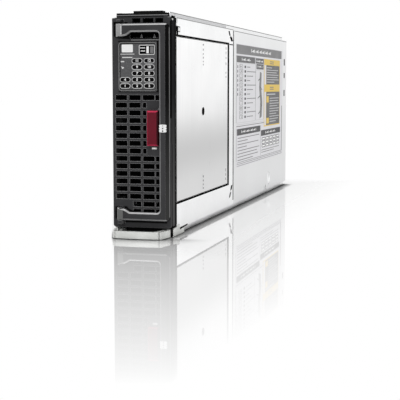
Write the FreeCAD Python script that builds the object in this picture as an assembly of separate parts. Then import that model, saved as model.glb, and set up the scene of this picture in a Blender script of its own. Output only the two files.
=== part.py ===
"""Storage blade with a sliding drive drawer, modelled in millimetres.

x runs across the blade, z up, and y back from the bezel's face. Every node is moved at the end
so that the origin is the middle of the whole blade's footprint, on the face that it stands on.
"""
import FreeCAD
import Part
import math
import os

Vector = FreeCAD.Vector

# Overall sizes
WIDTH = 50.0
HEIGHT = 181.0
DEPTH = 511.0
LEVER_REACH = 18.5

# Sheet thicknesses and fits
SHEET = 1.2
COVER_SHEET = 1.0
DRAWER_SHEET = 0.8
RUN_GAP = 0.3
PIN_FIT = 0.05

# Chassis section
RIDGE_LEFT = -21.0
RIDGE_RIGHT = 19.5
RIDGE_RISE = 4.5
RAIL_HALF = 22.5
RAIL_RISE = 4.6
UPPER_FLANGE = 10.5
LOWER_FLANGE = 17.4
METAL_FRONT = 14.3

# Side frame and its window
WINDOW_LOW = 25.4
WINDOW_HIGH = 163.0
WINDOW_BACK = 194.5
SEAM = 212.5
SEAM_GAP = 0.4
NOTCH_DEPTH = 3.7
NOTCH_LOW = 165.0
NOTCH_HIGH = 171.6
CORNER_SLOT = (10.5, 1.6)
CORNER_SLOT_AT = 199.0
CORNER_SLOT_INSET = 6.5
CORNER_SLOT_RISE = 11.0
CORNER_SLOT_LEAN = 42.0
SLIT = (24.0, 0.9)

# Access cover
COVER_LATCH_AT = (388.0, 16.4)
COVER_LATCH_RADIUS = 7.0
COVER_LATCH_EDGE = 0.5
COVER_LATCH_SINK = 0.1
COVER_LATCH_RIM = 2.2
COVER_LATCH_TRAVEL = 2.0
COVER_TRAVEL = 12.0
COVER_NOTCH = (366.0, 8.4, 5.6)
COVER_SLOT_AT = 480.0
COVER_SLOT = (2.0, 8.0)
COVER_SLOT_HEIGHTS = (150.7, 133.7, 113.0)
HOOK_FRONT_INSET = 27.1
HOOK_BACK_INSET = 52.5
HOOK_WIDTH = 10.0
HOOK_TOE = 8.0

# Rear panel
REAR_SLOT = (11.0, 3.6)
REAR_SLOT_PITCH = (13.5, 7.2)
REAR_SLOT_COLUMNS = 2
REAR_SLOT_ROWS = 19
REAR_SLOT_INSET = 3.5
SIGNAL_PLUG = (11.0, 62.0, 118.0)
POWER_PLUG = (11.0, 18.0, 46.0)
PLUG_LENGTH = 25.4

# Drawer
DRAWER_LOW = 27.0
DRAWER_HIGH = 161.4
DRAWER_LEFT_GAP = 0.6
DRAWER_BACK_GAP = 4.0
DRAWER_RIGHT_INSET = 0.4
DRAWER_FLANGE = 9.0
FRONT_PLATE = 1.0
AIR_WINDOW = (1.5, 17.0, 13.0)
AIR_WINDOW_INSET = 7.0
AIR_WINDOW_PITCH = 17.0
AIR_WINDOW_ROWS = 3
FLOOR_VENT = (3.0, 60.0)
DIVIDER_VENT = (7.0, 70.0)
BAY_PITCH = 83.6
WIDE_BAYS = 2
BAYS = 5
COLUMNS = 3
DIVIDER_TOP = 158.5
DIVIDER_TABS = (156.0, 150.5, 144.0, 41.0, 33.0)
TAB_HEIGHT = 4.4
SIDE_HOLE_RADIUS = 3.3
SIDE_HOLE_HEIGHT = 99.3

# Drives
DRIVE = (14.8, 69.85, 100.45)
BACKPLANE_RISE = 3.2
BOARD = 1.6
SOCKET = (8.0, 42.0, 5.8)
CARRIER_RAIL = 4.2
CARRIER_GRIP = 16.0
CARRIER_SIDE_GAP = 0.6

# Telescopic runners
RUNNER_HEIGHT = 17.0
RUNNER_WIDTH = 7.6
RUNNER_SHEET = 1.0
RUNNER_SIDE = 20.9
RUNNER_FRONT = 20.0
RUNNER_LENGTH = 412.0
RUNNER_TAB = 9.0
FLOOR_SHEET = 1.2

# Bezel
BEZEL_LEFT_INSET = 0.05
BEZEL_RIGHT_INSET = 0.2
BEZEL_LOW = 7.0
BEZEL_SHOULDER_GAP = 0.3
BEZEL_RIDGE_DROP = 3.0
BEZEL_RIDGE_LEFT = -21.1
BEZEL_RIDGE_RIGHT = 22.4
BEZEL_RIDGE_PLATE = 2.5
BEZEL_CHAMFER = 0.6
BEZEL_DEPTH = 11.2
BEZEL_SKIN = 2.2
BEZEL_WALL = 2.0
BEZEL_ROUND = 0.9
BEZEL_FOOT_ROUND = 2.5
BEZEL_BOSS_RADIUS = 2.2
BOSS_HALF = 20.2
BOSS_INSET = 2.4
GASKET_LIP = 1.3
RIDGE_SEAL = (1.0, 1.4)
RIDGE_PAD = (-6.8, 17.4, 9.0, 3.0)

# Grille
GRILLE_ROWS = 16
GRILLE_TOP = 112.3
GRILLE_PITCH = 6.135
GRILLE_OPENING = (9.8, 4.15)
GRILLE_COLUMNS = 4
GRILLE_COLUMN_PITCH = 11.5
GRILLE_LAST_GROWTH = 0.7
GRILLE_FOOT_LEFT = -7.6
LATCH_FIELD = (3.9, 15.9, 66.5, 109.3)
TOP_GAP = (-9.5, 17.6, 159.6, 166.4)
TOP_RIBS = (0.0, 10.9)
TOP_RIB = (1.05, 3.2, 0.5)
TOP_VENTS = (172.0, 175.0)
TOP_VENT_SPANS = ((-7.35, -1.1), (1.45, 9.8), (11.9, 17.9))

# Status plate
PLATE = (-18.5, 12.9, 117.6, 156.6)
PLATE_DEPTH = 1.0
PLATE_SHEET = 0.8
PLATE_ROUND = 2.0
PIPE = (6.0, 2.4)
WINDOW_COLUMNS = (-14.0, -3.85, 6.3)
WINDOW_LOWEST = 121.55
WINDOW_PITCH = 5.02
WINDOW_ROWS = 5
FULL_WINDOW_ROWS = 2
STATUS_BOARD_AT = 5.4
STATUS_POST = 0.9

# Drawer handle
HANDLE_FRONT = -4.6
HANDLE_RIGHT = 23.6
HANDLE_LOW = 13.4
HANDLE_HIGH = 170.8
HANDLE_STRIP = 7.8
HANDLE_BAR = 6.55
KNUCKLE_X = -17.6
KNUCKLE_Y = -1.7
KNUCKLE_RADIUS = 2.9
KNUCKLE_LENGTH = 10.3
UPPER_KNEE = (-11.6, 1.1, -7.5)
LOWER_KNEE = (-13.0, 1.7, -9.6)
HANDLE_OUTER_ROUND = 3.4
HANDLE_INNER_ROUND = 2.5
HANDLE_EDGE = 1.2
HANDLE_SLANT = 2.6
HANDLE_PIN = 1.25
EAR_LENGTH = 3.0

# Drawer latch button
LATCH = (5.3, 14.8, 73.8, 101.9)
LATCH_BACK = 7.0
LATCH_LIP = 1.1
LATCH_LIP_DEPTH = 1.4
LATCH_EDGE = 1.2

# Release lever
LEVER_LOW = 0.3
LEVER_HIGH = 6.1
LEVER_WALL = 3.0
LIP_HALF = 19.2
LIP_LEFT = 17.6
BUTTON_GAP = 0.6
LIP_BOW = 1.3
FLANK_HALF = 24.0
FLANK_BACK = -1.0
FLANK_WALL = 2.2
ARM_INSET = 5.0
ARM_WALL = 2.4
WEB_LIFT = 0.4
WEB_SHEET = 1.2
WEB_BACK = 10.0
PIVOT_Y = 15.5
PIVOT_Z = 3.2
PIVOT_RADIUS = 2.7
PIVOT_PIN = 1.25
STEM_RADIUS = 1.2
LUG_FRONT = 5.0
LUG_LENGTH = 2.5
FOOT_WIDTH = 2.4
FOOT_FRONT = 4.3
FOOT_HIGH = 8.0
FOOT_NOSE_HIGH = 6.6
FOOT_NOSE_ROUND = 3.0
FOOT_BACK = 36.0
FOOT_STEP = 22.6

# Controller
TRAY_FACE = 10.2
TRAY_SHEET = 1.0
STANDOFF = 2.2
STANDOFF_RADIUS = 2.5
CONTROLLER = (219.0, 467.0, 29.0, 164.0)
SINK_BIG = (262.0, 310.0, 84.0, 132.0)
SINK_SMALL = (352.0, 384.0, 92.0, 124.0)
SINK_BASE = 2.0
SINK_FIN = 5.2
SINK_FIN_PITCH = 4.0
SINK_FIN_WIDTH = 1.2
CACHE = (232.0, 300.0, 46.0, 76.0)
CACHE_LIFT = 4.6
PACK = (336.0, 420.0, 38.0, 66.0)
PACK_RADIUS = 3.6

# Worked out from the sizes above
FRONT = LEVER_REACH - DEPTH / 2
BACK = DEPTH - LEVER_REACH
HALF = WIDTH / 2
SHOULDER = HEIGHT - RIDGE_RISE
FLANGE_FACE = HALF - SHEET
FLOOR_TOP = RAIL_RISE + SHEET + FLOOR_SHEET
DRAWER_LEFT = -HALF + SHEET + DRAWER_LEFT_GAP
DRAWER_RIGHT = HALF - DRAWER_RIGHT_INSET
BAY_LEFT = DRAWER_LEFT + DRAWER_SHEET
BAY_RIGHT = DRAWER_RIGHT - DRAWER_SHEET
COLUMN_PITCH = (BAY_RIGHT - BAY_LEFT) / COLUMNS
NARROW_RIGHT = BAY_LEFT + (COLUMNS - 1) * COLUMN_PITCH
DRAWER_STEP = WINDOW_BACK - DRAWER_BACK_GAP
DRAWER_BACK = METAL_FRONT + BAYS * BAY_PITCH
BACKPLANE_TOP = DRAWER_LOW + DRAWER_SHEET + BACKPLANE_RISE + BOARD
DRIVE_LOW = BACKPLANE_TOP + SOCKET[2] + RUN_GAP
PLATE_FACE = METAL_FRONT - FRONT_PLATE
HANDLE_BACK = -RUN_GAP
HOOK_PLACES = (SEAM + SEAM_GAP + HOOK_FRONT_INSET, BACK - HOOK_BACK_INSET)
BEZEL_LEFT = BEZEL_LEFT_INSET - HALF
BEZEL_RIGHT = HALF - BEZEL_RIGHT_INSET
BEZEL_SHOULDER = SHOULDER - BEZEL_SHOULDER_GAP
BEZEL_RIDGE = HEIGHT - BEZEL_RIDGE_DROP
CONTROLLER_FACE = TRAY_FACE + TRAY_SHEET + STANDOFF


def block(x0, x1, y0, y1, z0, z1):
    """Box between two corners."""
    return Part.makeBox(x1 - x0, y1 - y0, z1 - z0, Vector(x0, y0, z0))


def face_of(points):
    """Flat face inside a closed outline of points."""
    return Part.Face(Part.makePolygon(points + points[:1]))


def along_x(outline, x0, x1):
    """Prism of a (y, z) outline between two places across the blade."""
    return face_of([Vector(x0, y, z) for y, z in outline]).extrude(Vector(x1 - x0, 0, 0))


def along_y(outline, y0, y1):
    """Prism of an (x, z) outline between two depths."""
    return face_of([Vector(x, y0, z) for x, z in outline]).extrude(Vector(0, y1 - y0, 0))


def along_z(outline, z0, z1):
    """Prism of an (x, y) outline between two heights."""
    return face_of([Vector(x, y, z0) for x, y in outline]).extrude(Vector(0, 0, z1 - z0))


def rod(radius, start, end):
    """Round bar between two points."""
    reach = Vector(*end) - Vector(*start)
    return Part.makeCylinder(radius, reach.Length, Vector(*start), reach)


def fuse(first, *others):
    """One solid from several that touch or cross."""
    return first.multiFuse(list(others)).removeSplitter()


def cut(body, *tools):
    """Body with every tool taken out of it."""
    return body.cut(list(tools))


def edges_along(shape, direction, keep=lambda middle: True):
    """Straight edges that run along a direction and whose middle is wanted."""
    found = []
    for edge in shape.Edges:
        if not isinstance(edge.Curve, Part.Line):
            continue
        if edge.Curve.Direction.cross(direction).Length > 1e-6:
            continue
        if keep(edge.CenterOfMass):
            found.append(edge)
    return found


def edges_in_front(shape, y):
    """Edges that lie wholly in one plane across the blade."""
    return [edge for edge in shape.Edges
            if abs(edge.BoundBox.YMin - y) < 1e-6 and abs(edge.BoundBox.YMax - y) < 1e-6]


def hex_post(radius, start, end):
    """Six-sided post between two points."""
    reach = Vector(*end) - Vector(*start)
    turn = FreeCAD.Rotation(Vector(0, 0, 1), reach)
    corners = [Vector(radius * math.cos(i * math.pi / 3), radius * math.sin(i * math.pi / 3), 0)
               for i in range(6)]
    return face_of([Vector(*start) + turn.multVec(corner) for corner in corners]).extrude(reach)


def rounded_block(x0, x1, y0, y1, z0, z1, radius):
    """Box whose four edges along the depth are round."""
    box = block(x0, x1, y0, y1, z0, z1)
    return box.makeFillet(radius, edges_along(box, Vector(0, 1, 0)))


# Chassis

def folded_section():
    """Outline of the folded sheet: left wall, ridge, bottom rail and the flanges on the right."""
    low_flange = RAIL_RISE + LOWER_FLANGE
    high_flange = SHOULDER - UPPER_FLANGE
    outside = [(FLANGE_FACE, high_flange), (FLANGE_FACE, SHOULDER), (RIDGE_RIGHT, SHOULDER),
               (RIDGE_RIGHT, HEIGHT), (RIDGE_LEFT, HEIGHT), (RIDGE_LEFT, SHOULDER),
               (-HALF, SHOULDER), (-HALF, RAIL_RISE), (-RAIL_HALF, RAIL_RISE), (-RAIL_HALF, 0),
               (RAIL_HALF, 0), (RAIL_HALF, RAIL_RISE), (FLANGE_FACE, RAIL_RISE),
               (FLANGE_FACE, low_flange)]
    inside = [(FLANGE_FACE - SHEET, low_flange), (FLANGE_FACE - SHEET, RAIL_RISE + SHEET),
              (RAIL_HALF - SHEET, RAIL_RISE + SHEET), (RAIL_HALF - SHEET, SHEET),
              (-RAIL_HALF + SHEET, SHEET), (-RAIL_HALF + SHEET, RAIL_RISE + SHEET),
              (-HALF + SHEET, RAIL_RISE + SHEET), (-HALF + SHEET, SHOULDER - SHEET),
              (RIDGE_LEFT + SHEET, SHOULDER - SHEET), (RIDGE_LEFT + SHEET, HEIGHT - SHEET),
              (RIDGE_RIGHT - SHEET, HEIGHT - SHEET), (RIDGE_RIGHT - SHEET, SHOULDER - SHEET),
              (FLANGE_FACE - SHEET, SHOULDER - SHEET), (FLANGE_FACE - SHEET, high_flange)]
    return outside + inside


def hook_heights():
    """Heights of the cover's hooks, in the middle of the lower and upper flanges."""
    return (RAIL_RISE + LOWER_FLANGE * 0.55, SHOULDER - UPPER_FLANGE * 0.5)


def hook_slots():
    """Slots in the flanges that the cover's hooks run along."""
    return [block(FLANGE_FACE - 2 * SHEET, HALF, y - RUN_GAP, y + HOOK_TOE + COVER_TRAVEL + RUN_GAP,
                  z - HOOK_WIDTH / 4 - RUN_GAP, z + HOOK_WIDTH / 4 + RUN_GAP)
            for y in HOOK_PLACES for z in hook_heights()]


def lever_bay():
    """Room under the front of the chassis for the lever's arms."""
    back = PIVOT_Y + PIVOT_RADIUS + 2 * RUN_GAP
    return block(-HALF - 1, HALF + 1, METAL_FRONT - 1, back, -1, RAIL_RISE + SHEET + RUN_GAP)


def chassis_shell():
    """Left wall, ridged top and railed bottom folded from one sheet."""
    sheet = along_y(folded_section(), METAL_FRONT, BACK)
    latch_y, latch_z = COVER_LATCH_AT
    room = COVER_LATCH_RADIUS + 2 * RUN_GAP
    latch_room = block(FLANGE_FACE - 2 * SHEET, HALF, latch_y - room, latch_y + room + COVER_TRAVEL,
                       latch_z - room, latch_z + room)
    foot_rooms = [block(min(side * RAIL_HALF, side * (HALF + 1)), max(side * RAIL_HALF, side * (HALF + 1)),
                        METAL_FRONT - 1, FOOT_STEP + RUN_GAP, -1, FOOT_HIGH + RUN_GAP) for side in (-1, 1)]
    return cut(sheet, lever_bay(), latch_room, *foot_rooms, *hook_slots())


def side_frame():
    """Right front wall: a frame round three sides of the drawer's window."""
    plate = block(FLANGE_FACE, HALF, METAL_FRONT, SEAM, RAIL_RISE, SHOULDER)
    window = block(FLANGE_FACE - 1, HALF + 1, METAL_FRONT - 1, WINDOW_BACK, WINDOW_LOW, WINDOW_HIGH)
    notch = block(FLANGE_FACE - 1, HALF + 1, METAL_FRONT - 1, METAL_FRONT + NOTCH_DEPTH,
                  NOTCH_LOW, NOTCH_HIGH)
    foot_room = block(FLANGE_FACE - 1, HALF + 1, METAL_FRONT - 1, FOOT_STEP + RUN_GAP,
                      RAIL_RISE - 1, FOOT_HIGH + RUN_GAP)
    slit = block(FLANGE_FACE - 1, HALF + 1, FOOT_STEP, FOOT_STEP + SLIT[0],
                 RAIL_RISE - 1, RAIL_RISE + SLIT[1])
    slots = [slit]
    low_slot = RAIL_RISE + CORNER_SLOT_RISE
    for z, lean in ((WINDOW_HIGH + CORNER_SLOT_INSET, 1), (low_slot, -1)):
        length, width = CORNER_SLOT
        slot = block(FLANGE_FACE - 1, HALF + 1, CORNER_SLOT_AT - width / 2, CORNER_SLOT_AT + width / 2,
                     z - length / 2, z + length / 2)
        slot.rotate(Vector(0, CORNER_SLOT_AT, z), Vector(1, 0, 0), lean * CORNER_SLOT_LEAN)
        slots.append(slot)
    return cut(plate, window, notch, foot_room, *slots)


def rear_panel():
    """Rear wall with rows of vent slots and openings for the two plugs."""
    left = -HALF + SHEET
    right = FLANGE_FACE - SHEET
    plate = block(left, right, BACK - SHEET, BACK, RAIL_RISE + SHEET, SHOULDER - SHEET)
    slots = []
    for column in range(REAR_SLOT_COLUMNS):
        x = left + REAR_SLOT_INSET + column * REAR_SLOT_PITCH[0]
        for row in range(REAR_SLOT_ROWS):
            z = WINDOW_LOW + row * REAR_SLOT_PITCH[1]
            slots.append(block(x, x + REAR_SLOT[0], BACK - 2 * SHEET, BACK + 1, z, z + REAR_SLOT[1]))
    openings = [grown(plug, RUN_GAP) for plug in (signal_plug(), power_plug())]
    return cut(plate, *slots, *openings)


def grown(shape, gap):
    """Box a gap larger than a shape all round."""
    box = shape.BoundBox
    return block(box.XMin - gap, box.XMax + gap, box.YMin - gap, box.YMax + gap,
                 box.ZMin - gap, box.ZMax + gap)


def plug(width, low, high, rows):
    """Rear plug: a block on the controller's rear edge with a row of contact wells."""
    middle = CONTROLLER_FACE + BOARD / 2
    front = CONTROLLER[1]
    body = block(middle - width / 2, middle + width / 2, front, front + PLUG_LENGTH, low, high)
    body = body.makeFillet(0.8, edges_along(body, Vector(0, 1, 0)))
    pitch = (high - low - 6) / rows
    wells = [block(middle - width / 2 + 2, middle + width / 2 - 2, front + PLUG_LENGTH - 6,
                   front + PLUG_LENGTH + 1, low + 3 + pitch * (row + 0.2), low + 3 + pitch * (row + 0.8))
             for row in range(rows)]
    return cut(body, *wells)


def signal_plug():
    """Long signal plug at the rear."""
    return plug(*SIGNAL_PLUG, 10)


def power_plug():
    """Short power plug below the signal plug."""
    return plug(*POWER_PLUG, 3)


def bay_floor():
    """Flat floor that stands on the shoulders beside the bottom rail."""
    front = RUNNER_FRONT + 3
    back = BACK - SHEET
    return block(-HALF + SHEET, FLANGE_FACE - SHEET, front, back, RAIL_RISE + SHEET, FLOOR_TOP)


def board_tray():
    """Upright wall between the drawer's narrow end and the controller."""
    return block(TRAY_FACE, TRAY_FACE + TRAY_SHEET, SEAM, CONTROLLER[1], FLOOR_TOP, HEIGHT - SHEET)


# Controller electronics

def board_corners(inset):
    """Places of the controller's fixings."""
    y0, y1, z0, z1 = CONTROLLER
    ys = (y0 + inset, (y0 + y1) / 2, y1 - inset)
    return [(y, z) for y in ys for z in (z0 + inset, z1 - inset)]


def board_standoffs():
    """Posts that carry the controller clear of its tray."""
    start = TRAY_FACE + TRAY_SHEET
    return Part.Compound([hex_post(STANDOFF_RADIUS, (start, y, z), (CONTROLLER_FACE, y, z))
                          for y, z in board_corners(6.0)])


def controller_board():
    """Drive controller's circuit board, standing on edge."""
    y0, y1, z0, z1 = CONTROLLER
    board = block(CONTROLLER_FACE, CONTROLLER_FACE + BOARD, y0, y1, z0, z1)
    return board.makeFillet(3.0, edges_along(board, Vector(1, 0, 0)))


def heat_sink(y0, y1, z0, z1):
    """Finned heat sink lying on the controller board."""
    low = CONTROLLER_FACE + BOARD
    high = low + SINK_BASE + SINK_FIN
    base = block(low, low + SINK_BASE, y0, y1, z0, z1)
    count = int((z1 - z0 - SINK_FIN_WIDTH) / SINK_FIN_PITCH) + 1
    span = (count - 1) * SINK_FIN_PITCH + SINK_FIN_WIDTH
    first = (z0 + z1 - span) / 2
    fins = [block(low + SINK_BASE, high, y0, y1, first + i * SINK_FIN_PITCH,
                  first + i * SINK_FIN_PITCH + SINK_FIN_WIDTH) for i in range(count)]
    return fuse(base, *fins)


def controller_heat_sink():
    """Heat sink on the drive controller's processor."""
    return heat_sink(*SINK_BIG)


def expander_heat_sink():
    """Heat sink on the drive expander."""
    return heat_sink(*SINK_SMALL)


def cache_socket():
    """Socket strip that lifts the cache module off the controller."""
    y0, y1, z0, z1 = CACHE
    low = CONTROLLER_FACE + BOARD
    return block(low, low + CACHE_LIFT, y0 + 3, y1 - 3, z0 + 2, z0 + 8)


def cache_module():
    """Cache memory module: a small board with four memory chips."""
    y0, y1, z0, z1 = CACHE
    low = CONTROLLER_FACE + BOARD + CACHE_LIFT
    board = block(low, low + 1.0, y0, y1, z0, z1)
    chips = [block(low + 1.0, low + 2.0, y0 + 5 + 15.5 * i, y0 + 16 + 15.5 * i, z0 + 11, z0 + 26)
             for i in range(4)]
    return fuse(board, *chips)


def capacitor_pack():
    """Backup capacitors for the cache, four round cells in a moulded cradle."""
    y0, y1, z0, z1 = PACK
    low = CONTROLLER_FACE + BOARD
    cradle = block(low, low + 2.0, y0, y1, z0, z1)
    pitch = (z1 - z0) / 4
    cells = []
    for i in range(4):
        z = z0 + (i + 0.5) * pitch
        x = low + 0.4 + PACK_RADIUS
        cells.append(rod(PACK_RADIUS - 0.2, (x, y0 + 3, z), (x, y1 - 3, z)))
    return fuse(cradle, *cells)


# Telescopic runners

def channel(inset, reach, front, back, side):
    """Nested C channel of a runner, opening towards the blade's middle."""
    low = FLOOR_TOP + inset
    high = FLOOR_TOP + RUNNER_HEIGHT - inset
    t = RUNNER_SHEET
    outline = [(inset, low), (reach, low), (reach, low + t), (inset + t, low + t),
               (inset + t, high - t), (reach, high - t), (reach, high), (inset, high)]
    return along_y([(side * (RUNNER_SIDE - u), z) for u, z in outline], front, back)


def runner_outer(side):
    """Fixed channel, on the bay floor."""
    return channel(0, RUNNER_WIDTH, RUNNER_FRONT + 3, RUNNER_FRONT + RUNNER_LENGTH, side)


def runner_middle(side):
    """Channel that travels half as far as the drawer."""
    return channel(RUNNER_SHEET + RUN_GAP, RUNNER_WIDTH, RUNNER_FRONT + 3,
                   RUNNER_FRONT + RUNNER_LENGTH, side)


def runner_inner(side):
    """Channel under the drawer, with the tab that carries the drawer's floor."""
    inset = 2 * (RUNNER_SHEET + RUN_GAP)
    body = channel(inset, RUNNER_TAB, RUNNER_FRONT, RUNNER_FRONT + RUNNER_LENGTH, side)
    low = FLOOR_TOP + RUNNER_HEIGHT - inset - RUNNER_SHEET
    inner = side * (RUNNER_SIDE - RUNNER_TAB)
    outer = side * (RUNNER_SIDE - RUNNER_TAB + RUNNER_SHEET)
    tab_back = DRAWER_STEP - 2 if side > 0 else RUNNER_FRONT + RUNNER_LENGTH - 2
    tab = block(min(inner, outer), max(inner, outer), RUNNER_FRONT, tab_back, low, DRAWER_LOW)
    return fuse(body, tab)


# Drawer

def bay_middle(bay):
    """Depth of the middle of a row of drives."""
    return METAL_FRONT + (bay + 0.5) * BAY_PITCH


def column_middle(column):
    """Place across the blade of a column of drives."""
    return BAY_LEFT + (column + 0.5) * COLUMN_PITCH


def columns_in(bay):
    """Number of drives across one row."""
    return COLUMNS if bay < WIDE_BAYS else COLUMNS - 1


def drive_places():
    """Places of all drives, front row first: three across, then two across behind the step."""
    return [(column_middle(column), bay_middle(bay)) for bay in range(BAYS)
            for column in range(columns_in(bay))]


def drawer_tray():
    """Open-topped tray: floor, left wall and the stepped walls of its narrow end."""
    t = DRAWER_SHEET
    right = NARROW_RIGHT + t
    outline = [(DRAWER_LEFT, METAL_FRONT), (BAY_RIGHT, METAL_FRONT), (BAY_RIGHT, DRAWER_STEP),
               (right, DRAWER_STEP), (right, DRAWER_BACK), (DRAWER_LEFT, DRAWER_BACK)]
    floor = along_z(outline, DRAWER_LOW, DRAWER_LOW + t)
    left = block(DRAWER_LEFT, BAY_LEFT, METAL_FRONT, DRAWER_BACK, DRAWER_LOW, DRAWER_HIGH)
    back = block(DRAWER_LEFT, right, DRAWER_BACK - t, DRAWER_BACK, DRAWER_LOW, DRAWER_HIGH)
    narrow = block(NARROW_RIGHT, right, DRAWER_STEP - t, DRAWER_BACK, DRAWER_LOW, DRAWER_HIGH)
    step = block(NARROW_RIGHT, BAY_RIGHT, DRAWER_STEP - t, DRAWER_STEP, DRAWER_LOW, DRAWER_HIGH)
    flange = block(BAY_LEFT, BAY_LEFT + DRAWER_FLANGE, METAL_FRONT, METAL_FRONT + t,
                   DRAWER_LOW, DRAWER_HIGH)
    vents = []
    for bay in range(BAYS):
        for column in range(columns_in(bay) - 1):
            x = column_middle(column) + COLUMN_PITCH / 2
            y = bay_middle(bay)
            vents.append(block(x - FLOOR_VENT[0] / 2, x + FLOOR_VENT[0] / 2, y - FLOOR_VENT[1] / 2,
                               y + FLOOR_VENT[1] / 2, DRAWER_LOW - 1, DRAWER_LOW + 2 * t))
    return cut(fuse(floor, left, back, narrow, step, flange), *vents)


def divider_depth(number):
    """Depth of the middle of a wall between two rows of drives."""
    return METAL_FRONT + number * BAY_PITCH


def tab_slots(gap):
    """Tabs of the two wide dividers in the side panel, or their slots when given a gap."""
    half = DRAWER_SHEET / 2 + gap
    return [block(BAY_RIGHT - gap, DRAWER_RIGHT + (gap if gap else -DRAWER_SHEET / 4),
                  divider_depth(number) - half, divider_depth(number) + half,
                  z - TAB_HEIGHT / 2 - gap, z + TAB_HEIGHT / 2 + gap)
            for number in range(1, WIDE_BAYS + 1) for z in DIVIDER_TABS]


def drawer_side_panel():
    """Right wall of the drawer, which shows in the side frame's window."""
    panel = block(BAY_RIGHT, DRAWER_RIGHT, METAL_FRONT, DRAWER_STEP, DRAWER_LOW, DRAWER_HIGH)
    flange = block(BAY_RIGHT - DRAWER_FLANGE, BAY_RIGHT, METAL_FRONT, METAL_FRONT + DRAWER_SHEET,
                   DRAWER_LOW + DRAWER_SHEET, DRAWER_HIGH)
    y = divider_depth(1)
    hole = rod(SIDE_HOLE_RADIUS, (BAY_RIGHT - 1, y, SIDE_HOLE_HEIGHT),
               (DRAWER_RIGHT + 1, y, SIDE_HOLE_HEIGHT))
    return cut(fuse(panel, flange), hole, *tab_slots(PIN_FIT))


def bay_divider(number):
    """Wall between two rows of drives, tabbed into the side panel where that is beside it."""
    y = divider_depth(number)
    half = DRAWER_SHEET / 2
    wide = number <= WIDE_BAYS
    right = BAY_RIGHT if wide else NARROW_RIGHT
    wall = block(BAY_LEFT, right, y - half, y + half, DRAWER_LOW + DRAWER_SHEET, DIVIDER_TOP)
    middle = DRIVE_LOW + DRIVE[2] / 2
    vents = [block(column_middle(column) - DIVIDER_VENT[0] / 2, column_middle(column) + DIVIDER_VENT[0] / 2,
                   y - 1, y + 1, middle - DIVIDER_VENT[1] / 2, middle + DIVIDER_VENT[1] / 2)
             for column in range(columns_in(number - 1 if wide else number))]
    tabs = [tab for tab in tab_slots(0) if abs(tab.CenterOfMass.y - y) < half]
    return cut(fuse(wall, *tabs) if tabs else wall, *vents)


def bay_dividers():
    """The four walls between the rows of drives."""
    return Part.Compound([bay_divider(number) for number in range(1, BAYS)])


def drawer_front_plate():
    """Pierced plate at the drawer's front that carries the bezel."""
    room = GASKET_LIP + RUN_GAP
    plate = block(BEZEL_LEFT + room, BEZEL_RIGHT - room, PLATE_FACE, METAL_FRONT, DRAWER_LOW, DRAWER_HIGH)
    first = DRAWER_LOW + AIR_WINDOW_INSET
    windows = []
    for side in (-1, 1):
        inner, outer = sorted((side * AIR_WINDOW[0], side * AIR_WINDOW[1]))
        for row in range(AIR_WINDOW_ROWS):
            low = first + row * AIR_WINDOW_PITCH
            windows.append(block(inner, outer, PLATE_FACE - 1, METAL_FRONT + 1, low, low + AIR_WINDOW[2]))
    return cut(plate, *windows)


def drive_backplane():
    """Circuit board under the drives, stepped like the tray."""
    low = DRAWER_LOW + DRAWER_SHEET + BACKPLANE_RISE
    gap = 1.0
    right = BAY_RIGHT - gap
    narrow = NARROW_RIGHT - gap
    left = BAY_LEFT + gap
    step = divider_depth(WIDE_BAYS) - gap
    front = METAL_FRONT + DRAWER_SHEET + gap
    back = DRAWER_BACK - DRAWER_SHEET - gap
    outline = [(left, front), (right, front), (right, step), (narrow, step), (narrow, back), (left, back)]
    board = along_z(outline, low, low + BOARD)
    slits = [block(left - 1, right + 1, divider_depth(number) - gap, divider_depth(number) + gap,
                   low - 1, low + BOARD + 1) for number in range(1, BAYS)]
    return Part.Compound(cut(board, *slits).Solids)


def backplane_standoffs():
    """Posts between the tray's floor and the backplane's sections."""
    low = DRAWER_LOW + DRAWER_SHEET
    posts = []
    for bay in range(BAYS):
        for x in (column_middle(0), column_middle(1)):
            for reach in (-34.0, 34.0):
                y = bay_middle(bay) + reach
                posts.append(hex_post(2.0, (x, y, low), (x, y, low + BACKPLANE_RISE)))
    return Part.Compound(posts)


def drive_sockets():
    """Sockets on the backplane, one below each drive."""
    width, length, height = SOCKET
    sockets = []
    for x, y in drive_places():
        body = block(x - width / 2, x + width / 2, y - length / 2, y + length / 2,
                     BACKPLANE_TOP, BACKPLANE_TOP + height)
        slot = block(x - 1.2, x + 1.2, y - length / 2 + 2, y + length / 2 - 2,
                     BACKPLANE_TOP + 2, BACKPLANE_TOP + height + 1)
        sockets.append(cut(body, slot))
    return Part.Compound(sockets)


def disk_drive(x, y):
    """Small disk drive on end: a cast case with a raised cover and a plug at its foot."""
    width, length, height = DRIVE
    high = DRIVE_LOW + height
    case = block(x - width / 2, x + width / 2 - 1.0, y - length / 2, y + length / 2, DRIVE_LOW, high)
    case = case.makeFillet(3.0, edges_along(case, Vector(1, 0, 0), lambda middle: middle.z > high - 1))
    cover = block(x + width / 2 - 1.0, x + width / 2, y - length / 2 + 3, y + length / 2 - 3,
                  DRIVE_LOW + 6, high - 3)
    board_room = block(x - width / 2 - 1, x - width / 2 + 1.2, y - length / 2 + 4, y + length / 2 - 4,
                       DRIVE_LOW + 9, high - 30)
    plug_room = block(x - 4.0, x + 4.0, y - 20.0, y + 20.0, DRIVE_LOW - 1, DRIVE_LOW + 4)
    return cut(fuse(case, cover), board_room, plug_room)


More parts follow.
